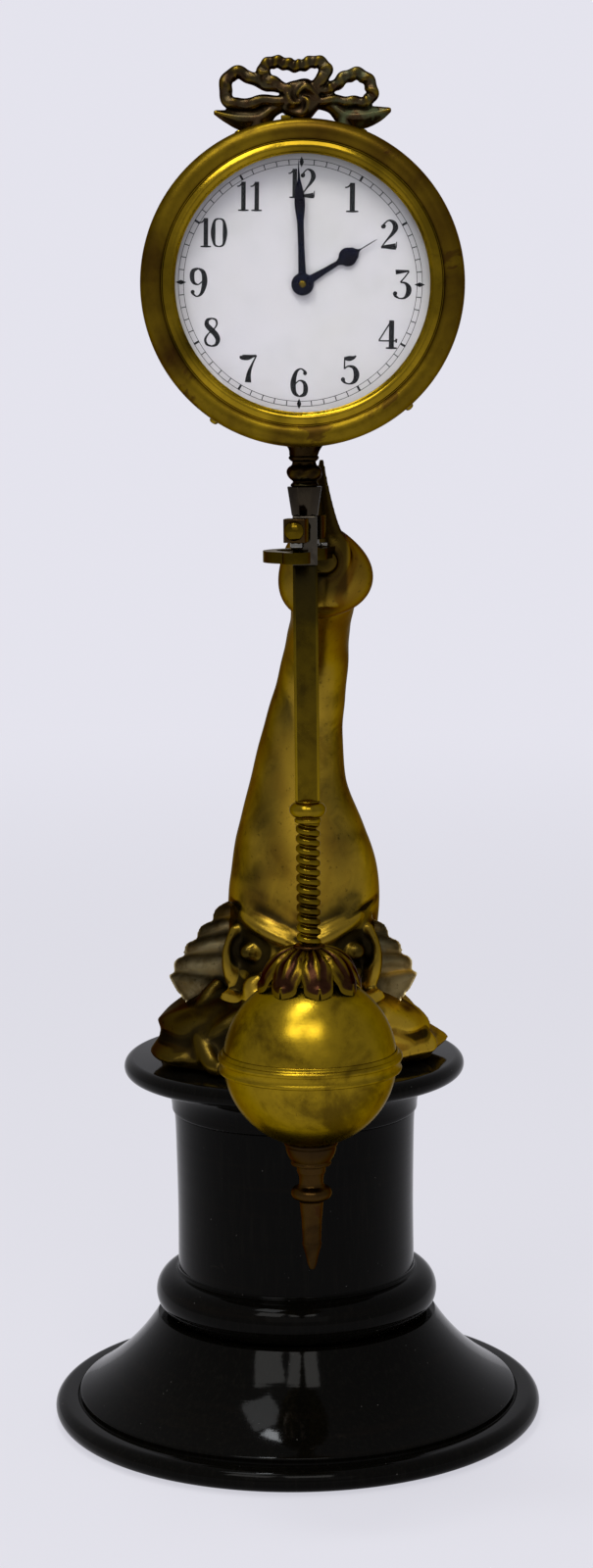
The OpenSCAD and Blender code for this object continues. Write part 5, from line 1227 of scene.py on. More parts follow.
def numeral_mesh():
    """The twelve numerals, upright on their ring."""
    points, faces = [], []
    height, ring = sizes().numeral_height / MM, sizes().numeral_ring / MM
    for hour in range(1, 13):
        text = str(hour)
        tight = 0.86 if len(text) == 2 else 1.0
        step = (0.50 if "1" in text else 0.58) * height * tight * 1.08
        width = step * (len(text) - 1) + 0.6 * height * tight * 1.08
        a = math.radians(90 - 30 * hour)
        x0, y0 = 1.01 * ring * math.cos(a) - width / 2, 0.975 * ring * math.sin(a) - height / 2
        for k, digit in enumerate(text):
            scale = np.array([height * tight * 1.08, height, height * tight])
            offset = np.array([x0 + k * step, y0, 0])
            for i, path in enumerate(DIGITS[digit]):
                stroke(points, faces, np.asarray(path) * scale + offset, 6 * len(path), 0.03 + 0.002 * i)
            if digit in BALLS:
                x, y, r = BALLS[digit]
                dot(points, faces, offset[0] + x * scale[0], offset[1] + y * height, r * height, 0.037)
    return points, faces


def track_rings():
    """The two thin circles of the minute track."""
    points, faces = [], []
    outer, width = sizes().track_outer / MM, sizes().track_width / MM
    for radius, line in ((outer, 0.13), (outer - width, 0.13)):
        start = len(points)
        for a in np.linspace(0, 2 * np.pi, 180, endpoint=False):
            for r in (radius - line / 2, radius + line / 2):
                points.append((r * math.cos(a), r * math.sin(a), float(dial_height(r)) + 0.03))
        faces += [(start + 2 * i, start + 2 * i + 1, start + (2 * i + 3) % 360, start + (2 * i + 2) % 360) for i in range(180)]
    return points, faces


def node_group(name, sockets):
    """A geometry tree with named inputs and one geometry output."""
    tree = bpy.data.node_groups.new(name, "GeometryNodeTree")
    tree.interface.new_socket("Geometry", in_out="OUTPUT", socket_type="NodeSocketGeometry")
    tree.interface.new_socket("Geometry", in_out="INPUT", socket_type="NodeSocketGeometry")
    ids = {}
    for label, kind, default in sockets:
        socket = tree.interface.new_socket(label, in_out="INPUT", socket_type=kind)
        if default is not None:
            socket.default_value = default
        ids[label] = socket.identifier
    return tree, ids


def add(tree, kind, **links):
    """A node of the tree, with its inputs linked or set by name."""
    node = tree.nodes.new(kind)
    for key, value in links.items():
        socket = node.inputs[key.replace("_", " ")]
        if isinstance(value, bpy.types.NodeSocket):
            tree.links.new(value, socket)
        else:
            socket.default_value = value
    return node


def sums(tree, operation, a, b=None):
    """A math node on numbers or sockets."""
    node = tree.nodes.new("ShaderNodeMath")
    node.operation = operation
    for slot, value in enumerate((a, b)):
        if value is None:
            continue
        if isinstance(value, bpy.types.NodeSocket):
            tree.links.new(value, node.inputs[slot])
        else:
            node.inputs[slot].default_value = value
    return node.outputs[0]


def grown(name, tree, ids, values, base=None):
    """Runs a geometry tree on a new object and returns it as a plain mesh."""
    mesh = base or bpy.data.meshes.new(name)
    obj = to_object(name, mesh)
    modifier = obj.modifiers.new("grow", "NODES")
    modifier.node_group = tree
    for label, value in values.items():
        modifier[ids[label]] = value
    return baked(obj)


def marks_tree():
    """Bars round the minute track: a thin one for each minute and a bold one for each five."""
    tree, ids = node_group("minute_marks", [
        ("Radius", "NodeSocketFloat", 0.0277), ("Length", "NodeSocketFloat", 0.0012), ("Width", "NodeSocketFloat", 0.0002),
        ("Count", "NodeSocketInt", 60), ("Height", "NodeSocketFloat", 0.0001), ("Taper", "NodeSocketFloat", 1.0),
        ("Finish", "NodeSocketMaterial", None)])
    group_in, group_out = tree.nodes.new("NodeGroupInput"), tree.nodes.new("NodeGroupOutput")
    i = group_in.outputs
    ring = add(tree, "GeometryNodeMeshCircle", Vertices=i["Count"], Radius=i["Radius"])
    bar = add(tree, "GeometryNodeMeshGrid", Vertices_X=2, Vertices_Y=3)
    tree.links.new(i["Width"], bar.inputs["Size X"])
    tree.links.new(i["Length"], bar.inputs["Size Y"])
    place = tree.nodes.new("GeometryNodeInputPosition")
    parts = add(tree, "ShaderNodeSeparateXYZ", Vector=place.outputs[0])
    along = sums(tree, "DIVIDE", sums(tree, "ABSOLUTE", parts.outputs["Y"]), sums(tree, "MULTIPLY", i["Length"], 0.5))
    narrow = sums(tree, "SUBTRACT", 1.0, sums(tree, "MULTIPLY", along, sums(tree, "SUBTRACT", 1.0, i["Taper"])))
    moved = add(tree, "ShaderNodeCombineXYZ", X=sums(tree, "MULTIPLY", parts.outputs["X"], narrow), Y=parts.outputs["Y"], Z=0.0)
    shaped = add(tree, "GeometryNodeSetPosition", Geometry=bar.outputs["Mesh"], Position=moved.outputs[0])
    index = tree.nodes.new("GeometryNodeInputIndex")
    turn = sums(tree, "SUBTRACT", sums(tree, "MULTIPLY", sums(tree, "DIVIDE", index.outputs[0], i["Count"]), 2 * math.pi), math.pi / 2)
    spin = add(tree, "ShaderNodeCombineXYZ", X=0.0, Y=0.0, Z=turn)
    copies = add(tree, "GeometryNodeInstanceOnPoints", Points=ring.outputs["Mesh"], Instance=shaped.outputs["Geometry"])
    tree.links.new(spin.outputs[0], copies.inputs["Rotation"])
    raised = add(tree, "GeometryNodeTransform", Geometry=copies.outputs["Instances"])
    lift = add(tree, "ShaderNodeCombineXYZ", X=0.0, Y=0.0, Z=i["Height"])
    tree.links.new(lift.outputs[0], raised.inputs["Translation"])
    real = add(tree, "GeometryNodeRealizeInstances", Geometry=raised.outputs["Geometry"])
    last = add(tree, "GeometryNodeSetMaterial", Geometry=real.outputs["Geometry"], Material=i["Finish"])
    tree.links.new(last.outputs["Geometry"], group_out.inputs["Geometry"])
    return tree, ids


def transform_mesh(mesh, function):
    """Moves the points of a mesh, given and returned in millimetres."""
    set_positions(mesh, function(positions(mesh) / MM) * MM)


def joined(name, objects):
    """One object from several plain ones that share a material."""
    b = bmesh.new()
    for obj in objects:
        b.from_mesh(obj.data)
    mesh = bpy.data.meshes.new(name)
    b.to_mesh(mesh)
    b.free()
    for obj in objects:
        bpy.data.objects.remove(obj)
    return to_object(name, mesh)


class CLOCK_OT_dial(bpy.types.Operator):
    """Domed enamel dial with its numerals and minute track"""

    bl_idname = "clock.dial"
    bl_label = "Dial"

    def execute(self, context):
        profile = [(r, float(dial_height(r))) for r in np.linspace(2.4, 33.5, 24)]
        profile = [(2.4, DIAL_F + 0.05)] + [(2.4, profile[0][1] - 0.15), (2.5, profile[0][1] - 0.03)] + profile[1:]
        profile += [(34.9, DIAL_TOP - 0.1), (35.0, DIAL_TOP - 0.4), (35.0, DIAL_F + 0.05)]
        turned("dial_enamel", profile, finish("enamel"), "pendulum", ("dial",), on_dial, 160, 40, 0.1)
        points, faces = numeral_mesh()
        more, more_faces = track_rings()
        faces += [tuple(i + len(points) for i in face) for face in more_faces]
        points += more
        mesh = bpy.data.meshes.new("numerals")
        mesh.from_pydata([tuple(p) for p in np.array(points) * MM], [], faces)
        pieces = [to_object("numerals", mesh)]
        tree, ids = marks_tree()
        ring, width = sizes().track_outer - sizes().track_width / 2, sizes().track_width
        height = float(dial_height(ring / MM)) * MM + 0.00003
        for count, wide, long, taper in ((60, 0.00021, width, 1.0), (12, 0.00052, width * 1.15, 1.0), (4, 0.0011, width * 2.1, 0.0)):
            values = {"Radius": ring, "Length": long, "Width": wide, "Count": count, "Height": height + 0.000004 * (count < 60), "Taper": taper, "Finish": finish("ink")}
            pieces.append(grown("marks", tree, ids, values))
        numerals = joined("numerals_and_track", pieces)
        lean = math.radians(sizes().print_lean)

        def printed(p):
            x, y = p[:, 0] * math.cos(lean) + p[:, 1] * math.sin(lean), -p[:, 0] * math.sin(lean) + p[:, 1] * math.cos(lean)
            return on_dial(np.stack([x - 0.5, y + 0.2, p[:, 2]], 1))

        transform_mesh(numerals.data, printed)
        face_forward(numerals.data)
        finished(numerals, finish("ink"), "pendulum", (), 0)
        return {"FINISHED"}


def face_forward(mesh):
    """Turns the faces of flat print towards -Y."""
    b = bmesh.new()
    b.from_mesh(mesh)
    b.normal_update()
    bmesh.ops.reverse_faces(b, faces=[face for face in b.faces if face.normal.y > 0])
    b.to_mesh(mesh)
    b.free()


class CLOCK_OT_case(bpy.types.Operator):
    """Bezel, drum, glass, back cover and their screws"""

    bl_idname = "clock.case"
    bl_label = "Drum and bezel"

    def execute(self, context):
        r, sight = DRUM_R + 1.3, DRUM_R - 6.8
        front, seat = DIAL_F + 8.3, GLASS_F + 1.2
        profile = [(DRUM_R + 0.02, DIAL_F), (r - 0.5, DIAL_F), (r - 0.08, DIAL_F + 0.5), (r, DIAL_F + 1.2)]
        ring = [(r, front - 3.2), (r - 0.25, front - 1.9), (r - 0.95, front - 0.85), (r - 2.0, front - 0.3), (r - 3.1, front - 0.2),
                (r - 4.1, front - 0.45), (r - 4.75, front - 0.95)]
        profile += [tuple(point) for point in resample(ring, 30)]
        profile += [(r - 4.9, front - 1.35), (r - 5.1, front - 1.35), (r - 5.2, front - 1.0)]
        profile += arc((sight + 1.55, seat + 0.35), 1.3, 70, 170, 18)
        profile += [(sight + 0.02, seat + 0.45), (sight, seat), (sight + 1.2, seat), (sight + 1.2, GLASS_F), (sight + 1.6, GLASS_F),
                    (sight + 2.6, GLASS_F - 1), (DRUM_R - 0.8, DIAL_F + 1.4), (DRUM_R - 0.8, DIAL_F)]
        bezel = turned("bezel_spun", profile, finish("bezel_brass"), "pendulum", ("bezel",), on_dial, 200, 50, 0.18)
        self.polish(bezel, sight + 3.2)
        tarnished(bezel, self.tarnish)
        drum = [(DRUM_R - 0.8, COVER_F), (DRUM_R - 0.25, COVER_F), (DRUM_R, COVER_F + 0.25), (DRUM_R, COVER_F + 2.0), (DRUM_R - 0.18, COVER_F + 2.3),
                (DRUM_R, COVER_F + 2.6), (DRUM_R, DIAL_F - 1.2), (DRUM_R - 0.1, DIAL_F), (DRUM_R - 0.8, DIAL_F)]
        turned("drum_rolled", drum, finish("drum_brass"), "pendulum", ("case_band",), on_dial, 200, 40, 0.12)
        edge = sight + 1.18
        pane = [(0, GLASS_F + 0.02), (edge - 1.2, GLASS_F + 0.02), (edge - 0.25, GLASS_F + 0.02), (edge, GLASS_F + 0.25), (edge, seat - 0.27),
                (edge - 0.25, seat - 0.02), (edge - 1.2, seat - 0.02), (0, seat - 0.02)]
        turned("glass_ground", pane, finish("glass"), "pendulum", ("glass",), on_dial, 160, 20, 0)
        softened("back_cover_spun", "back_cover", finish("drum_brass"), "pendulum", 0.00018, 2, 40)
        self.screws()
        return {"FINISHED"}

    def polish(self, bezel, reach):
        """Gives the inner cove of the bezel its brighter finish."""
        bezel.data.materials.append(finish("cove_brass"))
        for face in bezel.data.polygons:
            x, y, z = face.center / MM
            inside = math.hypot(x - SIDE, z - HEAD_Z) < reach and -REACH - y > GLASS_F
            face.material_index = 1 if inside else 0

    def tarnish(self, p):
        """Brown films and painted shade on the upper right, both sides and the lower left of the bezel; the sides are
        painted as dark as brass that reflects little light.
        """
        turn = np.degrees(np.arctan2(p[:, 2] - HEAD_Z, p[:, 0] - SIDE))
        dark = np.zeros(len(p))
        for at, wide, much in ((85, 30, 0.72), (52, 24, 0.78), (22, 22, 0.7), (-8, 26, 0.62), (-48, 14, 0.4), (140, 22, 0.35), (176, 24, 0.62), (-152, 16, 0.85), (-118, 9, 0.45), (-100, 5, 0.6)):
            dark = np.maximum(dark, much * np.exp(-(((turn - at + 180) % 360 - 180) / wide) ** 2))
        return dark

    def screws(self):
        """Round-headed screws round the drum, copied to their places by a geometry tree."""
        profile = [(0, 0.2), (0.62, 0.2), (0.62, 1.2), (1.05, 1.25), (1.1, 1.5), (0.98, 1.85), (0.7, 2.08), (0.3, 2.18), (0, 2.2)]
        points, faces = lathe_points(profile, 28)
        template = to_object("screw_template", to_mesh("screw_template", points, faces))
        cutter = template.modifiers.new("slot", "BOOLEAN")
        bar = to_mesh("slot_bar", [(x, y, z) for x in (-2, 2) for y in (-0.16, 0.16) for z in (1.75, 3)],
                      [(0, 1, 3, 2), (4, 6, 7, 5), (0, 4, 5, 1), (2, 3, 7, 6), (0, 2, 6, 4), (1, 5, 7, 3)])
        slot = to_object("slot_bar", bar)
        cutter.object, cutter.operation, cutter.solver = slot, "DIFFERENCE", "EXACT"
        baked(template)
        bpy.data.objects.remove(slot)
        seats = bpy.data.meshes.new("screw_seats")
        ways = [(math.cos(math.radians(a)), math.sin(math.radians(a))) for a in (112.5, 67.5, 236, 311)]
        f = DIAL_F - 2.4
        seats.from_pydata([tuple(p) for p in on_dial([(DRUM_R * x, DRUM_R * y, f) for x, y in ways]) * MM], [], [])
        seats.attributes.new("way", "FLOAT_VECTOR", "POINT").data.foreach_set("vector", np.array([(x, 0, y) for x, y in ways], np.float32).ravel())
        tree, ids = node_group("screw_seats", [("Screw", "NodeSocketObject", None), ("Finish", "NodeSocketMaterial", None)])
        group_in, group_out = tree.nodes.new("NodeGroupInput"), tree.nodes.new("NodeGroupOutput")
        info = add(tree, "GeometryNodeObjectInfo", Object=group_in.outputs["Screw"])
        way = add(tree, "GeometryNodeInputNamedAttribute", Name="way")
        way.data_type = "FLOAT_VECTOR"
        align = add(tree, "FunctionNodeAlignRotationToVector", Vector=way.outputs[0])
        align.axis = "Z"
        points_mesh = add(tree, "GeometryNodeMeshToPoints", Mesh=group_in.outputs["Geometry"])
        copies = add(tree, "GeometryNodeInstanceOnPoints", Points=points_mesh.outputs["Points"], Instance=info.outputs["Geometry"], Rotation=align.outputs[0])
        real = add(tree, "GeometryNodeRealizeInstances", Geometry=copies.outputs["Instances"])
        last = add(tree, "GeometryNodeSetMaterial", Geometry=real.outputs["Geometry"], Material=group_in.outputs["Finish"])
        tree.links.new(last.outputs["Geometry"], group_out.inputs["Geometry"])
        screws = grown("case_screw_heads", tree, ids, {"Screw": template, "Finish": finish("bright_brass")}, seats)
        bpy.data.objects.remove(template)
        finished(screws, finish("bright_brass"), "pendulum", ("case_screws",), 40)


class CLOCK_OT_bow(bpy.types.Operator):
    """Cast bow on top of the drum, with its stud"""

    bl_idname = "clock.bow"
    bl_label = "Bow"

    def execute(self, context):
        parts = [(on_pendulum(p + np.array([0, -BOW_Y, HEAD_Z - PIVOT_Z + DRUM_R])), f) for p, f in bow_forms()]
        cast("bow_cast", parts, 0.00026, 4, finish("bow_bronze"), "pendulum", ("crest_bow",), None, 10)
        softened("stud_filed", "crest_stud", finish("rod_brass"), "pendulum", 0.0003, 3, 40)
        return {"FINISHED"}


def hand_outline(length, half, swell_at, swell, boss):
    """Half outline of a hand, from its boss to its needle point."""
    lean = math.asin(half / boss)
    right = arc((0, 0), boss, 90 + math.degrees(lean) - 360, 90 - math.degrees(lean), 48)
    if swell > 1.5:
        stem = [(half, boss), (0.75 * half, 0.3 * length), (0.62 * half, swell_at - swell - 0.6)]
        bulb = arc((0, swell_at), swell, -62, 40, 16)
        tip = [(0.62 * swell, swell_at + 0.95 * swell), (0.24, swell_at + 1.45 * swell), (0.12, 0.88 * length), (0.05, length)]
    else:
        stem = [(half, boss), (0.85 * half, 0.3 * length), (0.86 * half, 0.5 * length)]
        bulb = [(0.98 * swell, 0.62 * length), (swell, swell_at), (0.8 * swell, 0.75 * length)]
        tip = [(0.4 * half, 0.84 * length), (0.16, 0.93 * length), (0.05, length)]
    side = [tuple(p) for p in resample(stem, 12)] + bulb + [tuple(p) for p in resample(tip, 14)]
    return right[:-1] + [(x, y) for x, y in side] + [(-x, y) for x, y in reversed(side)]


def hand_mesh(name, outline, hole, low, thick, turn):
    """A hand as a plate with softened edges and a round hole."""
    b = bmesh.new()
    outer = [b.verts.new((x * MM, y * MM, low * MM)) for x, y in outline]
    inner = [b.verts.new((hole * math.cos(a) * MM, hole * math.sin(a) * MM, low * MM)) for a in np.linspace(0, 2 * np.pi, 32, endpoint=False)]
    edges = [b.edges.new((ring[i], ring[(i + 1) % len(ring)])) for ring in (outer, inner) for i in range(len(ring))]
    bmesh.ops.triangle_fill(b, use_beauty=True, use_dissolve=True, edges=edges)
    faces = list(b.faces)
    grown_up = bmesh.ops.extrude_face_region(b, geom=faces)
    top = [v for v in grown_up["geom"] if isinstance(v, bmesh.types.BMVert)]
    bmesh.ops.translate(b, verts=top, vec=(0, 0, thick * MM))
    bmesh.ops.recalc_face_normals(b, faces=b.faces)
    mesh = bpy.data.meshes.new(name)
    b.to_mesh(mesh)
    b.free()
    obj = to_object(name, mesh)
    bevel = obj.modifiers.new("edges", "BEVEL")
    bevel.width, bevel.segments, bevel.limit_method, bevel.angle_limit = 0.00009, 2, "ANGLE", math.radians(50)
    baked(obj)
    t = math.radians(-turn)

    def place(p):
        x, y = p[:, 0] * math.cos(t) - p[:, 1] * math.sin(t), p[:, 0] * math.sin(t) + p[:, 1] * math.cos(t)
        return on_dial(np.stack([x, y, p[:, 2]], 1))

    transform_mesh(obj.data, place)
    b = bmesh.new()
    b.from_mesh(obj.data)
    bmesh.ops.recalc_face_normals(b, faces=b.faces)
    b.to_mesh(obj.data)
    b.free()
    return obj


class CLOCK_OT_hands(bpy.types.Operator):
    """Blued hands and the brass pin over them"""

    bl_idname = "clock.hands"
    bl_label = "Hands"

    def execute(self, context):
        low = {node: -REACH - box_mm(node)[1][1] for node in ("hour_hand", "minute_hand")}
        hour = hand_mesh("hour_hand_blued", hand_outline(20, 0.9, 12.2, 2.15, 2.6), 1.36, low["hour_hand"], 0.3, 59.9)
        finished(hour, finish("blued"), "hour_pipe", ("hour_hand",), 30)
        minute = hand_mesh("minute_hand_blued", hand_outline(28.2, 0.88, 18.9, 1.22, 2.3), 0.5, low["minute_hand"], 0.3, -1.4)
        finished(minute, finish("blued"), "minute_arbor", ("minute_hand",), 30)
        top = low["minute_hand"] + 0.3
        boss = [(0, top - 0.9), (2.25, top - 0.9), (2.3, top - 0.35), (2.05, top + 0.05), (1.5, top + 0.22), (0, top + 0.25)]
        turned("hand_boss", boss, finish("blued"), "minute_arbor", (), on_dial, 48, 50, 0.1)
        pin = [(0, top), (0.85, top), (0.9, top + 0.15), (0.78, top + 0.5), (0.45, top + 0.68), (0, top + 0.72)]
        turned("hand_pin", pin, finish("rod_brass"), "minute_arbor", ("hand_nut",), on_dial, 40, 50, 0.08)
        return {"FINISHED"}


# ---------------------------------------------------------------- pendulum


def twist_tree():
    """A round rod with one thread wound round it."""
    tree, ids = node_group("twisted_rod", [
        ("Radius", "NodeSocketFloat", 0.00295), ("Height", "NodeSocketFloat", 0.0294), ("Pitch", "NodeSocketFloat", 0.0024),
        ("Depth", "NodeSocketFloat", 0.0005), ("Sides", "NodeSocketInt", 48), ("Rings", "NodeSocketInt", 300), ("Finish", "NodeSocketMaterial", None)])
    group_in, group_out = tree.nodes.new("NodeGroupInput"), tree.nodes.new("NodeGroupOutput")
    i = group_in.outputs
    rod = add(tree, "GeometryNodeMeshCylinder", Vertices=i["Sides"], Side_Segments=i["Rings"], Radius=i["Radius"], Depth=i["Height"])
    place = tree.nodes.new("GeometryNodeInputPosition")
    parts = add(tree, "ShaderNodeSeparateXYZ", Vector=place.outputs[0])
    x, y, z = (parts.outputs[k] for k in "XYZ")
    turn = sums(tree, "ARCTAN2", y, x)
    rise = sums(tree, "MULTIPLY", sums(tree, "DIVIDE", z, i["Pitch"]), 2 * math.pi)
    ridge = sums(tree, "COSINE", sums(tree, "ADD", rise, turn))
    round_ridge = sums(tree, "POWER", sums(tree, "MULTIPLY", sums(tree, "SUBTRACT", 1.0, ridge), 0.5), 2.2)
    cut = sums(tree, "DIVIDE", sums(tree, "MULTIPLY", round_ridge, i["Depth"]), i["Radius"])
    scale = sums(tree, "SUBTRACT", 1.0, cut)
    moved = add(tree, "ShaderNodeCombineXYZ", X=sums(tree, "MULTIPLY", x, scale), Y=sums(tree, "MULTIPLY", y, scale), Z=z)
    shaped = add(tree, "GeometryNodeSetPosition", Geometry=rod.outputs["Mesh"], Position=moved.outputs[0])
    real = add(tree, "GeometryNodeRealizeInstances", Geometry=shaped.outputs["Geometry"])
    last = add(tree, "GeometryNodeSetMaterial", Geometry=real.outputs["Geometry"], Material=i["Finish"])
    tree.links.new(last.outputs["Geometry"], group_out.inputs["Geometry"])
    return tree, ids


LEAF_LINE = [(2.6, 27.7), (5.0, 27.3), (7.6, 26.2), (9.8, 24.5), (11.4, 22.2), (12.2, 20.4), (12.9, 19.8)]


def leaf_mesh():
    """One ribbed, pointed leaf that arches out over the ball and curls at its tip, pointing to +X."""
    rows, cols = 34, 22
    line = resample(LEAF_LINE, rows)
    points = []
    for face in (1, 0):
        for i, (r, high) in enumerate(line):
            s = i / rows
            half = math.radians(24.5) * (1.0 if s < 0.5 else max(0.06, (1 - ((s - 0.5) / 0.52) ** 1.6))) * (1 + 0.10 * math.sin(17 * s) * (s > 0.3))
            for j in range(cols + 1):
                u = 2 * j / cols - 1
                a = u * half
                rib = math.exp(-(u / 0.2) ** 2) + 0.6 * math.exp(-((abs(u) - 0.62) / 0.15) ** 2)
                lift = 0.75 * rib * math.sin(math.pi * min(1, s + 0.12)) - 1.7 * u * u * s
                thick = 0 if face else 1.0 + 0.5 * (1 - s)
                points.append((r * math.cos(a), r * math.sin(a), high + lift - thick))
    n, m = rows + 1, cols + 1
    faces = []
    for i in range(rows):
        for j in range(cols):
            a, b = i * m + j, (i + 1) * m + j
            faces += [(a, b, b + 1, a + 1), (n * m + a, n * m + a + 1, n * m + b + 1, n * m + b)]
        a, b = i * m, (i + 1) * m
        faces.append((a, n * m + a, n * m + b, b))
        a, b = i * m + cols, (i + 1) * m + cols
        faces.append((a, b, n * m + b, n * m + a))
    for j in range(cols):
        faces.append((j, j + 1, n * m + j + 1, n * m + j))
        a = rows * m + j
        faces.append((a, n * m + a, n * m + a + 1, a + 1))
    return to_mesh("leaf", points, faces)


def leaf_tree():
    """Leaves copied round the upright axis, each a little different in size and droop."""
    tree, ids = node_group("leaf_cap", [("Count", "NodeSocketInt", 8), ("Unevenness", "NodeSocketFloat", 0.03), ("Finish", "NodeSocketMaterial", None)])
    group_in, group_out = tree.nodes.new("NodeGroupInput"), tree.nodes.new("NodeGroupOutput")
    i = group_in.outputs
    spots = add(tree, "GeometryNodePoints", Count=i["Count"])
    index = tree.nodes.new("GeometryNodeInputIndex")
    turn = sums(tree, "MULTIPLY", sums(tree, "DIVIDE", sums(tree, "ADD", index.outputs[0], 0.25), i["Count"]), 2 * math.pi)
    spin = add(tree, "ShaderNodeCombineXYZ", X=0.0, Y=0.0, Z=turn)
    random = tree.nodes.new("FunctionNodeRandomValue")
    random.data_type = "FLOAT"
    low, high = sums(tree, "SUBTRACT", 1.0, i["Unevenness"]), 1.0
    tree.links.new(low, random.inputs[2])
    random.inputs[3].default_value = high
    random.inputs["Seed"].default_value = 4
    scale = add(tree, "ShaderNodeCombineXYZ", X=random.outputs[1], Y=1.0, Z=1.0)
    copies = add(tree, "GeometryNodeInstanceOnPoints", Points=spots.outputs[0], Instance=i["Geometry"])
    tree.links.new(spin.outputs[0], copies.inputs["Rotation"])
    tree.links.new(scale.outputs[0], copies.inputs["Scale"])
    real = add(tree, "GeometryNodeRealizeInstances", Geometry=copies.outputs["Instances"])
    last = add(tree, "GeometryNodeSetMaterial", Geometry=real.outputs["Geometry"], Material=i["Finish"])
    tree.links.new(last.outputs["Geometry"], group_out.inputs["Geometry"])
    return tree, ids


class CLOCK_OT_rod(bpy.types.Operator):
    """Flat rod, bead and twisted rod"""

    bl_idname = "clock.rod"
    bl_label = "Pendulum rod"

    def execute(self, context):
        rod = softened("rod_filed", "pendulum_rod", finish("rod_brass"), "pendulum", 0.00012, 2, 30)
        # The rod is painted darker towards its top, nearly black there.
        tarnished(rod, lambda p: 0.95 * step(p[:, 2], 196, 232))
        rubbed(rod, lambda n: 1.0 if abs(n.x) > 0.3 and abs(n.y) > 0.3 else 0.0)
        low, high = box_mm("rod_bead")
        top = high[2] - PIVOT_Z
        bead = [(0, top - 0.02), (2.9, top - 0.02), (3.15, top - 0.2), (2.75, top - 0.55)]
        bead += arc((2.65, top - 2.3), 1.75, 66, -66, 20)
        bead += [(2.85, top - 4.2), (3.2, top - 4.5), (3.2, top - 5.2), (2.9, top - 5.4), (0, top - 5.4)]
        turned("rod_bead_turned", bead, finish("bright_brass"), "pendulum", ("rod_bead",), on_pendulum, 72, 50, 0.15)
        twist_top = low[2] - PIVOT_Z
        twist_h = twist_top - (BALL_Z + 34.1 - PIVOT_Z - 5.5)
        node_low = box_mm("twist_rod")[0][2]
        twist_h = 29.4
        tree, ids = twist_tree()
        values = {"Radius": 0.00295, "Height": twist_h * MM, "Pitch": sizes().twist_pitch, "Depth": sizes().twist_depth, "Finish": finish("twist_brass")}
        twist = grown("twist", tree, ids, values)
        transform_mesh(twist.data, lambda p: on_pendulum(p, twist_top - twist_h / 2))
        tail_top = twist_top - twist_h + 0.5
        points, faces = lathe_points([(0, tail_top), (1.6, tail_top), (1.6, node_low - PIVOT_Z + 0.4), (1.3, node_low - PIVOT_Z), (0, node_low - PIVOT_Z)], 40)
        tail = to_object("tail", to_mesh("tail", on_pendulum(points), faces))
        whole = joined("twist_rod_cut", [twist, tail])
        finished(whole, finish("twist_brass"), "pendulum", ("twist_rod",), 45)
        return {"FINISHED"}


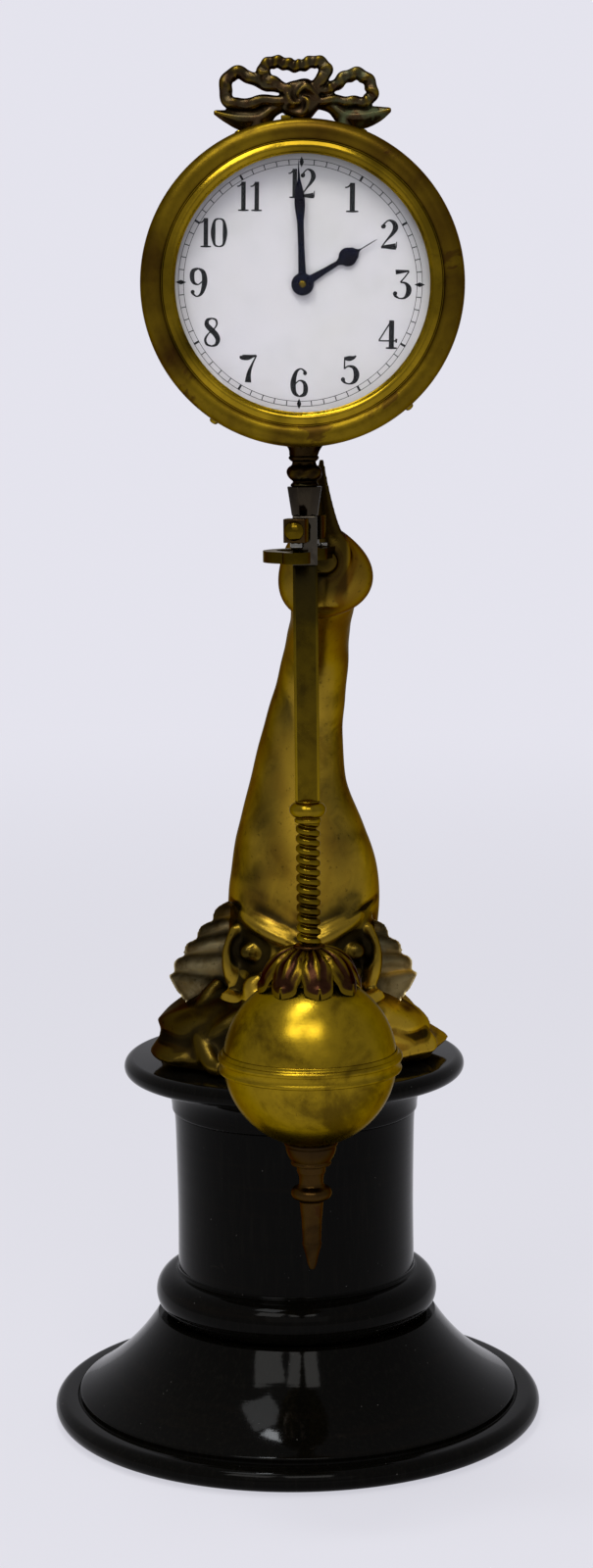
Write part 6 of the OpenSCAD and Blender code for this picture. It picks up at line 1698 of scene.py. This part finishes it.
class CLOCK_OT_ball(bpy.types.Operator):
    """Brass ball with its leaf cap, band, cup and finial"""

    bl_idname = "clock.ball"
    bl_label = "Ball and finial"

    def execute(self, context):
        def at_ball(points):
            return np.asarray(points, float) + np.array([SIDE, -REACH, BALL_Z])

        brass = finish("ball_brass")
        inner = BALL_R - 1
        for name, node, way in (("shell_upper", "bob_upper", 1), ("shell_lower", "bob_lower", -1)):
            outer = arc((0, 0), BALL_R, 0.15, 85.4, 48)
            back = arc((0, 0), inner, 85, 0.2, 24)
            profile = [(x, way * y) for x, y in outer + back]
            turned(name, profile, brass, "ball", (node,), at_ball, 192, 40, 0.05)
        out = BALL_R + 1.4
        band = [(BALL_R - 0.02, -2.6), (BALL_R + 0.7, -2.6), (out - 0.35, -2.35), (out - 0.2, -1.9), (out - 0.5, -1.35), (out - 0.55, -0.7), (out - 0.42, -0.2)]
        band += arc((out - 0.8, 0.85), 0.8, -50, 88, 12) + [(BALL_R + 0.4, 1.9), (BALL_R + 0.3, 2.5), (BALL_R - 0.02, 2.6)]
        turned("band_turned", band, finish("ball_brass"), "ball", ("bob_band",), at_ball, 192, 40, 0.15)
        self.leaves(at_ball)
        low, high = box_mm("bob_cup")
        cup_top, cup_low = high[2] - BALL_Z, low[2] - BALL_Z
        cup = [(1.7, cup_top), (6.3, cup_top), (6.6, cup_top - 0.5), (6.5, cup_top - 1.0), (6.15, cup_top - 1.35)]
        cup += [(6.2 - 1.45 * t * t, cup_top - 1.5 + (cup_low + 0.9 - cup_top + 1.5) * t) for t in np.linspace(0, 1, 12)]
        cup += [(5.0, cup_low + 0.5), (4.75, cup_low), (1.7, cup_low)]
        cup = turned("cup_turned", cup, finish("finial_brass"), "ball", ("bob_cup",), at_ball, 96, 45, 0.2)
        # Painted shadow: the cup is darker towards its top, under the ball.
        tarnished(cup, lambda p: 0.8 * step(p[:, 2], low[2], high[2]))
        low, high = box_mm("rating_finial")
        top, tip = high[2] - BALL_Z, low[2] - BALL_Z
        bead = top - 7
        mix = lambda t: bead + (tip - bead) * t
        finial = [(1.69, top), (3.4, top), (3.55, top - 0.3), (3.5, top - 1.7), (3.2, top - 2.3), (2.95, top - 3.4), (3.0, bead + 2.3), (3.25, bead + 1.85)]
        finial += arc((3.45, bead), 1.55, 76, -76, 18)
        finial += [(3.3, bead - 1.8), (2.95, bead - 2.2), (2.7, mix(0.25)), (2.5, mix(0.34)), (2.35, mix(0.5)), (2.25, mix(0.63)), (2.4, mix(0.66)), (2.2, mix(0.7)),
                   (1.45, mix(0.84)), (1.1, mix(0.93)), (0.6, mix(0.995)), (0, tip)]
        bore = box_mm("twist_rod")[0][2] - BALL_Z - 0.3
        finial = [(0, bore), (1.69, bore)] + finial
        turned("finial_turned", finial, finish("finial_brass"), "finial", ("rating_finial",), at_ball, 96, 45, 0.18)
        refinish("bob_weight", "cast_metal")
        return {"FINISHED"}

    def leaves(self, at_ball):
        """Leaf cap: leaves, crown and collar as one cast skin."""
        tree, ids = leaf_tree()
        leaves = grown("leaves", tree, ids, {"Count": sizes().leaf_count, "Finish": finish("leaf_copper")}, leaf_mesh())
        top = box_mm("leaf_cap")[1][2] - BALL_Z
        crown = [(1.75, BALL_R - 1.2), (8.6, BALL_R - 1.8), (7.6, 23.4), (5.5, 25.3), (3.6, 26.3), (3.5, top - 1.2), (3.9, top - 0.8), (3.85, top - 0.2), (3.4, top), (1.75, top)]
        points, faces = lathe_points(rounded(crown, 0.3), 72)
        crown = to_object("crown", to_mesh("crown", points, faces))
        cap = joined("leaf_cap_cast", [leaves, crown])
        transform_mesh(cap.data, at_ball)
        mark_hollows(cap.data, 8)
        finished(cap, finish("leaf_copper"), "ball", ("leaf_cap",), 50)


# ---------------------------------------------------------------- movement


class CLOCK_OT_movement(bpy.types.Operator):
    """Finishes of the movement behind the dial, the key and the setting knob"""

    bl_idname = "clock.movement"
    bl_label = "Movement"

    def execute(self, context):
        for node in ("front_plate", "back_plate", "plate_pillars", "mainspring_barrel", "centre_wheel", "minute_wheel", "hour_wheel",
                     "third_wheel", "escape_wheel", "inner_pendulum"):
            refinish(node, "plate_brass")
        for node in ("barrel_arbor", "ratchet_wheel", "click", "centre_arbor", "cannon_pinion", "pallet_anchor"):
            refinish(node, "steel")
        softened("key_filed", "winding_key", finish("steel"), "winder", 0.0003, 3, 40)
        softened("knob_turned", "set_knob", finish("bright_brass"), "minute_arbor", 0.00035, 3, 40)
        return {"FINISHED"}


# ---------------------------------------------------------------- stage

PALE = (0.78, 0.774, 0.85, 1)


class CLOCK_OT_stage(bpy.types.Operator):
    """Pale floor and room, window light and the camera"""

    bl_idname = "clock.stage"
    bl_label = "Stage"

    def execute(self, context):
        self.floor()
        self.light()
        self.camera()
        context.scene.view_settings.view_transform = "Standard"
        return {"FINISHED"}

    def floor(self):
        """A wide pale floor that blends into the pale room with distance."""
        sides, steps = 96, (0.0, 0.5, 1.6, 3.2)
        points = [(r * math.cos(2 * math.pi * i / sides), r * math.sin(2 * math.pi * i / sides), 0.0) for r in steps[1:] for i in range(sides)]
        faces = [tuple(range(sides))]
        faces += [(k * sides + i, (k + 1) * sides + i, (k + 1) * sides + (i + 1) % sides, k * sides + (i + 1) % sides)
                  for k in range(len(steps) - 2) for i in range(sides)]
        mesh = bpy.data.meshes.new("floor")
        mesh.from_pydata(points, [], faces)
        floor = to_object("floor", mesh)
        material = bpy.data.materials.new("pale_paper")
        material.use_nodes = True
        tree = material.node_tree
        tree.nodes.clear()
        paper = tree.nodes.new("ShaderNodeBsdfDiffuse")
        paper.inputs["Color"].default_value = (0.80, 0.79, 0.83, 1)
        glow = tree.nodes.new("ShaderNodeEmission")
        glow.inputs["Color"].default_value = PALE
        glow.inputs["Strength"].default_value = 1.0
        place = tree.nodes.new("ShaderNodeTexCoord")
        far = tree.nodes.new("ShaderNodeVectorMath")
        far.operation = "LENGTH"
        tree.links.new(place.outputs["Object"], far.inputs[0])
        rise = tree.nodes.new("ShaderNodeMapRange")
        rise.interpolation_type = "SMOOTHSTEP"
        for key, value in zip(("From Min", "From Max", "To Min", "To Max"), (0.3, 1.6, 0.76, 1.0)):
            rise.inputs[key].default_value = value
        tree.links.new(far.outputs["Value"], rise.inputs["Value"])
        share = tree.nodes.new("ShaderNodeMath")
        share.operation = "MULTIPLY"
        tree.links.new(self.seen(tree), share.inputs[0])
        tree.links.new(rise.outputs["Result"], share.inputs[1])
        mix = tree.nodes.new("ShaderNodeMixShader")
        tree.links.new(share.outputs[0], mix.inputs[0])
        tree.links.new(paper.outputs[0], mix.inputs[1])
        tree.links.new(glow.outputs[0], mix.inputs[2])
        out = tree.nodes.new("ShaderNodeOutputMaterial")
        tree.links.new(mix.outputs[0], out.inputs["Surface"])
        mesh.materials.append(material)

    def seen(self, tree):
        """The share of a ray that sees the pale room: the camera's and bent rays whole, mirrored rays half."""
        path = tree.nodes.new("ShaderNodeLightPath")
        dimmed = tree.nodes.new("ShaderNodeMath")
        dimmed.operation = "MULTIPLY"
        dimmed.inputs[1].default_value = 0.35
        bent = tree.nodes.new("ShaderNodeMath")
        bent.operation = "MAXIMUM"
        seen = tree.nodes.new("ShaderNodeMath")
        seen.operation = "MAXIMUM"
        tree.links.new(path.outputs["Is Glossy Ray"], dimmed.inputs[0])
        tree.links.new(dimmed.outputs[0], bent.inputs[0])
        tree.links.new(path.outputs["Is Transmission Ray"], bent.inputs[1])
        tree.links.new(path.outputs["Is Camera Ray"], seen.inputs[0])
        tree.links.new(bent.outputs[0], seen.inputs[1])
        return seen.outputs[0]

    def light(self):
        world = bpy.data.worlds.new("room")
        bpy.context.scene.world = world
        world.use_nodes = True
        tree = world.node_tree
        tree.nodes.clear()
        light, pale = tree.nodes.new("ShaderNodeBackground"), tree.nodes.new("ShaderNodeBackground")
        light.inputs["Color"].default_value = (0.96, 0.97, 1.0, 1)
        light.inputs["Strength"].default_value = 0.3
        pale.inputs["Color"].default_value = PALE
        pale.inputs["Strength"].default_value = 1.0
        mix = tree.nodes.new("ShaderNodeMixShader")
        out = tree.nodes.new("ShaderNodeOutputWorld")
        tree.links.new(self.seen(tree), mix.inputs[0])
        tree.links.new(light.outputs[0], mix.inputs[1])
        tree.links.new(pale.outputs[0], mix.inputs[2])
        tree.links.new(mix.outputs[0], out.inputs["Surface"])

        def area(name, at, target, size, power, tint=(1, 1, 1)):
            data = bpy.data.lights.new(name, "AREA")
            data.shape, data.size, data.size_y = "RECTANGLE", size[0], size[1]
            data.energy, data.color = power, tint
            lamp = bpy.data.objects.new(name, data)
            bpy.context.scene.collection.objects.link(lamp)
            lamp.location = at
            lamp.rotation_euler = (Vector(target) - Vector(at)).to_track_quat("-Z", "Y").to_euler()
            lamp.visible_camera = False

        middle = (0.0, -0.05, 0.14)
        panes = (((-0.40, -0.42), (0.42, 0.42), 3.3, (0.97, 0.99, 1.0)), ((-0.62, -1.20), (0.62, 0.62), 7.1, (1.0, 0.99, 0.96)),
                 ((0.13, -1.25), (0.62, 0.62), 7.1, (1.0, 0.98, 0.94)), ((-0.19, -0.12), (0.11, 0.22), 3.3, (0.92, 0.96, 1.0)),
                 ((-0.03, -0.12), (0.11, 0.22), 2.9, (1.0, 1.0, 0.98)))
        for k, ((x, y), size, power, tint) in enumerate(panes):
            area(f"pane_{k}", (x, y, 1.62), middle, size, power, tint)
        area("front", (0.0, -2.2, 1.25), middle, (2.2, 1.1), 2.3)

    def camera(self):
        data = bpy.data.cameras.new("camera")
        data.sensor_fit = "VERTICAL"
        data.sensor_height = 36.0
        data.lens = 3007.0 / 1600.0 * 36.0
        data.clip_start, data.clip_end = 0.05, 20
        camera = bpy.data.objects.new("camera", data)
        bpy.context.scene.collection.objects.link(camera)
        turn = Matrix.Rotation(math.radians(90 - 7.73), 4, "X") @ Matrix.Rotation(math.radians(-0.6), 4, "Z")
        camera.matrix_world = Matrix.Translation((0.0014, -0.7686, 0.2752)) @ turn
        bpy.context.scene.camera = camera


PIECES = ("base", "figure", "suspension", "case", "dial", "hands", "bow", "rod", "ball", "movement", "stage")


class CLOCK_PT_panel(bpy.types.Panel):
    """Sizes, finishes and pieces of the clock"""

    bl_idname = "CLOCK_PT_panel"
    bl_label = "Swinging clock"
    bl_space_type = "VIEW_3D"
    bl_region_type = "UI"
    bl_category = "Clock"

    def draw(self, context):
        for group in (context.scene.clock_sizes, context.scene.clock_finishes):
            column = self.layout.column(align=True)
            for key in group.__annotations__:
                column.prop(group, key)
        for piece in PIECES:
            self.layout.operator(f"clock.{piece}")


CLASSES = (
    ClockSizes, ClockFinishes, CLOCK_OT_base, CLOCK_OT_figure, CLOCK_OT_suspension, CLOCK_OT_case, CLOCK_OT_dial, CLOCK_OT_hands,
    CLOCK_OT_bow, CLOCK_OT_rod, CLOCK_OT_ball, CLOCK_OT_movement, CLOCK_OT_stage, CLOCK_PT_panel)


def register():
    for cls in CLASSES:
        bpy.utils.register_class(cls)
    bpy.types.Scene.clock_sizes = bpy.props.PointerProperty(type=ClockSizes)
    bpy.types.Scene.clock_finishes = bpy.props.PointerProperty(type=ClockFinishes)


def unregister():
    del bpy.types.Scene.clock_sizes
    del bpy.types.Scene.clock_finishes
    for cls in reversed(CLASSES):
        bpy.utils.unregister_class(cls)


def main():
    register()
    for piece in PIECES:
        getattr(bpy.ops.clock, piece)()


if __name__ == "__main__":
    main()
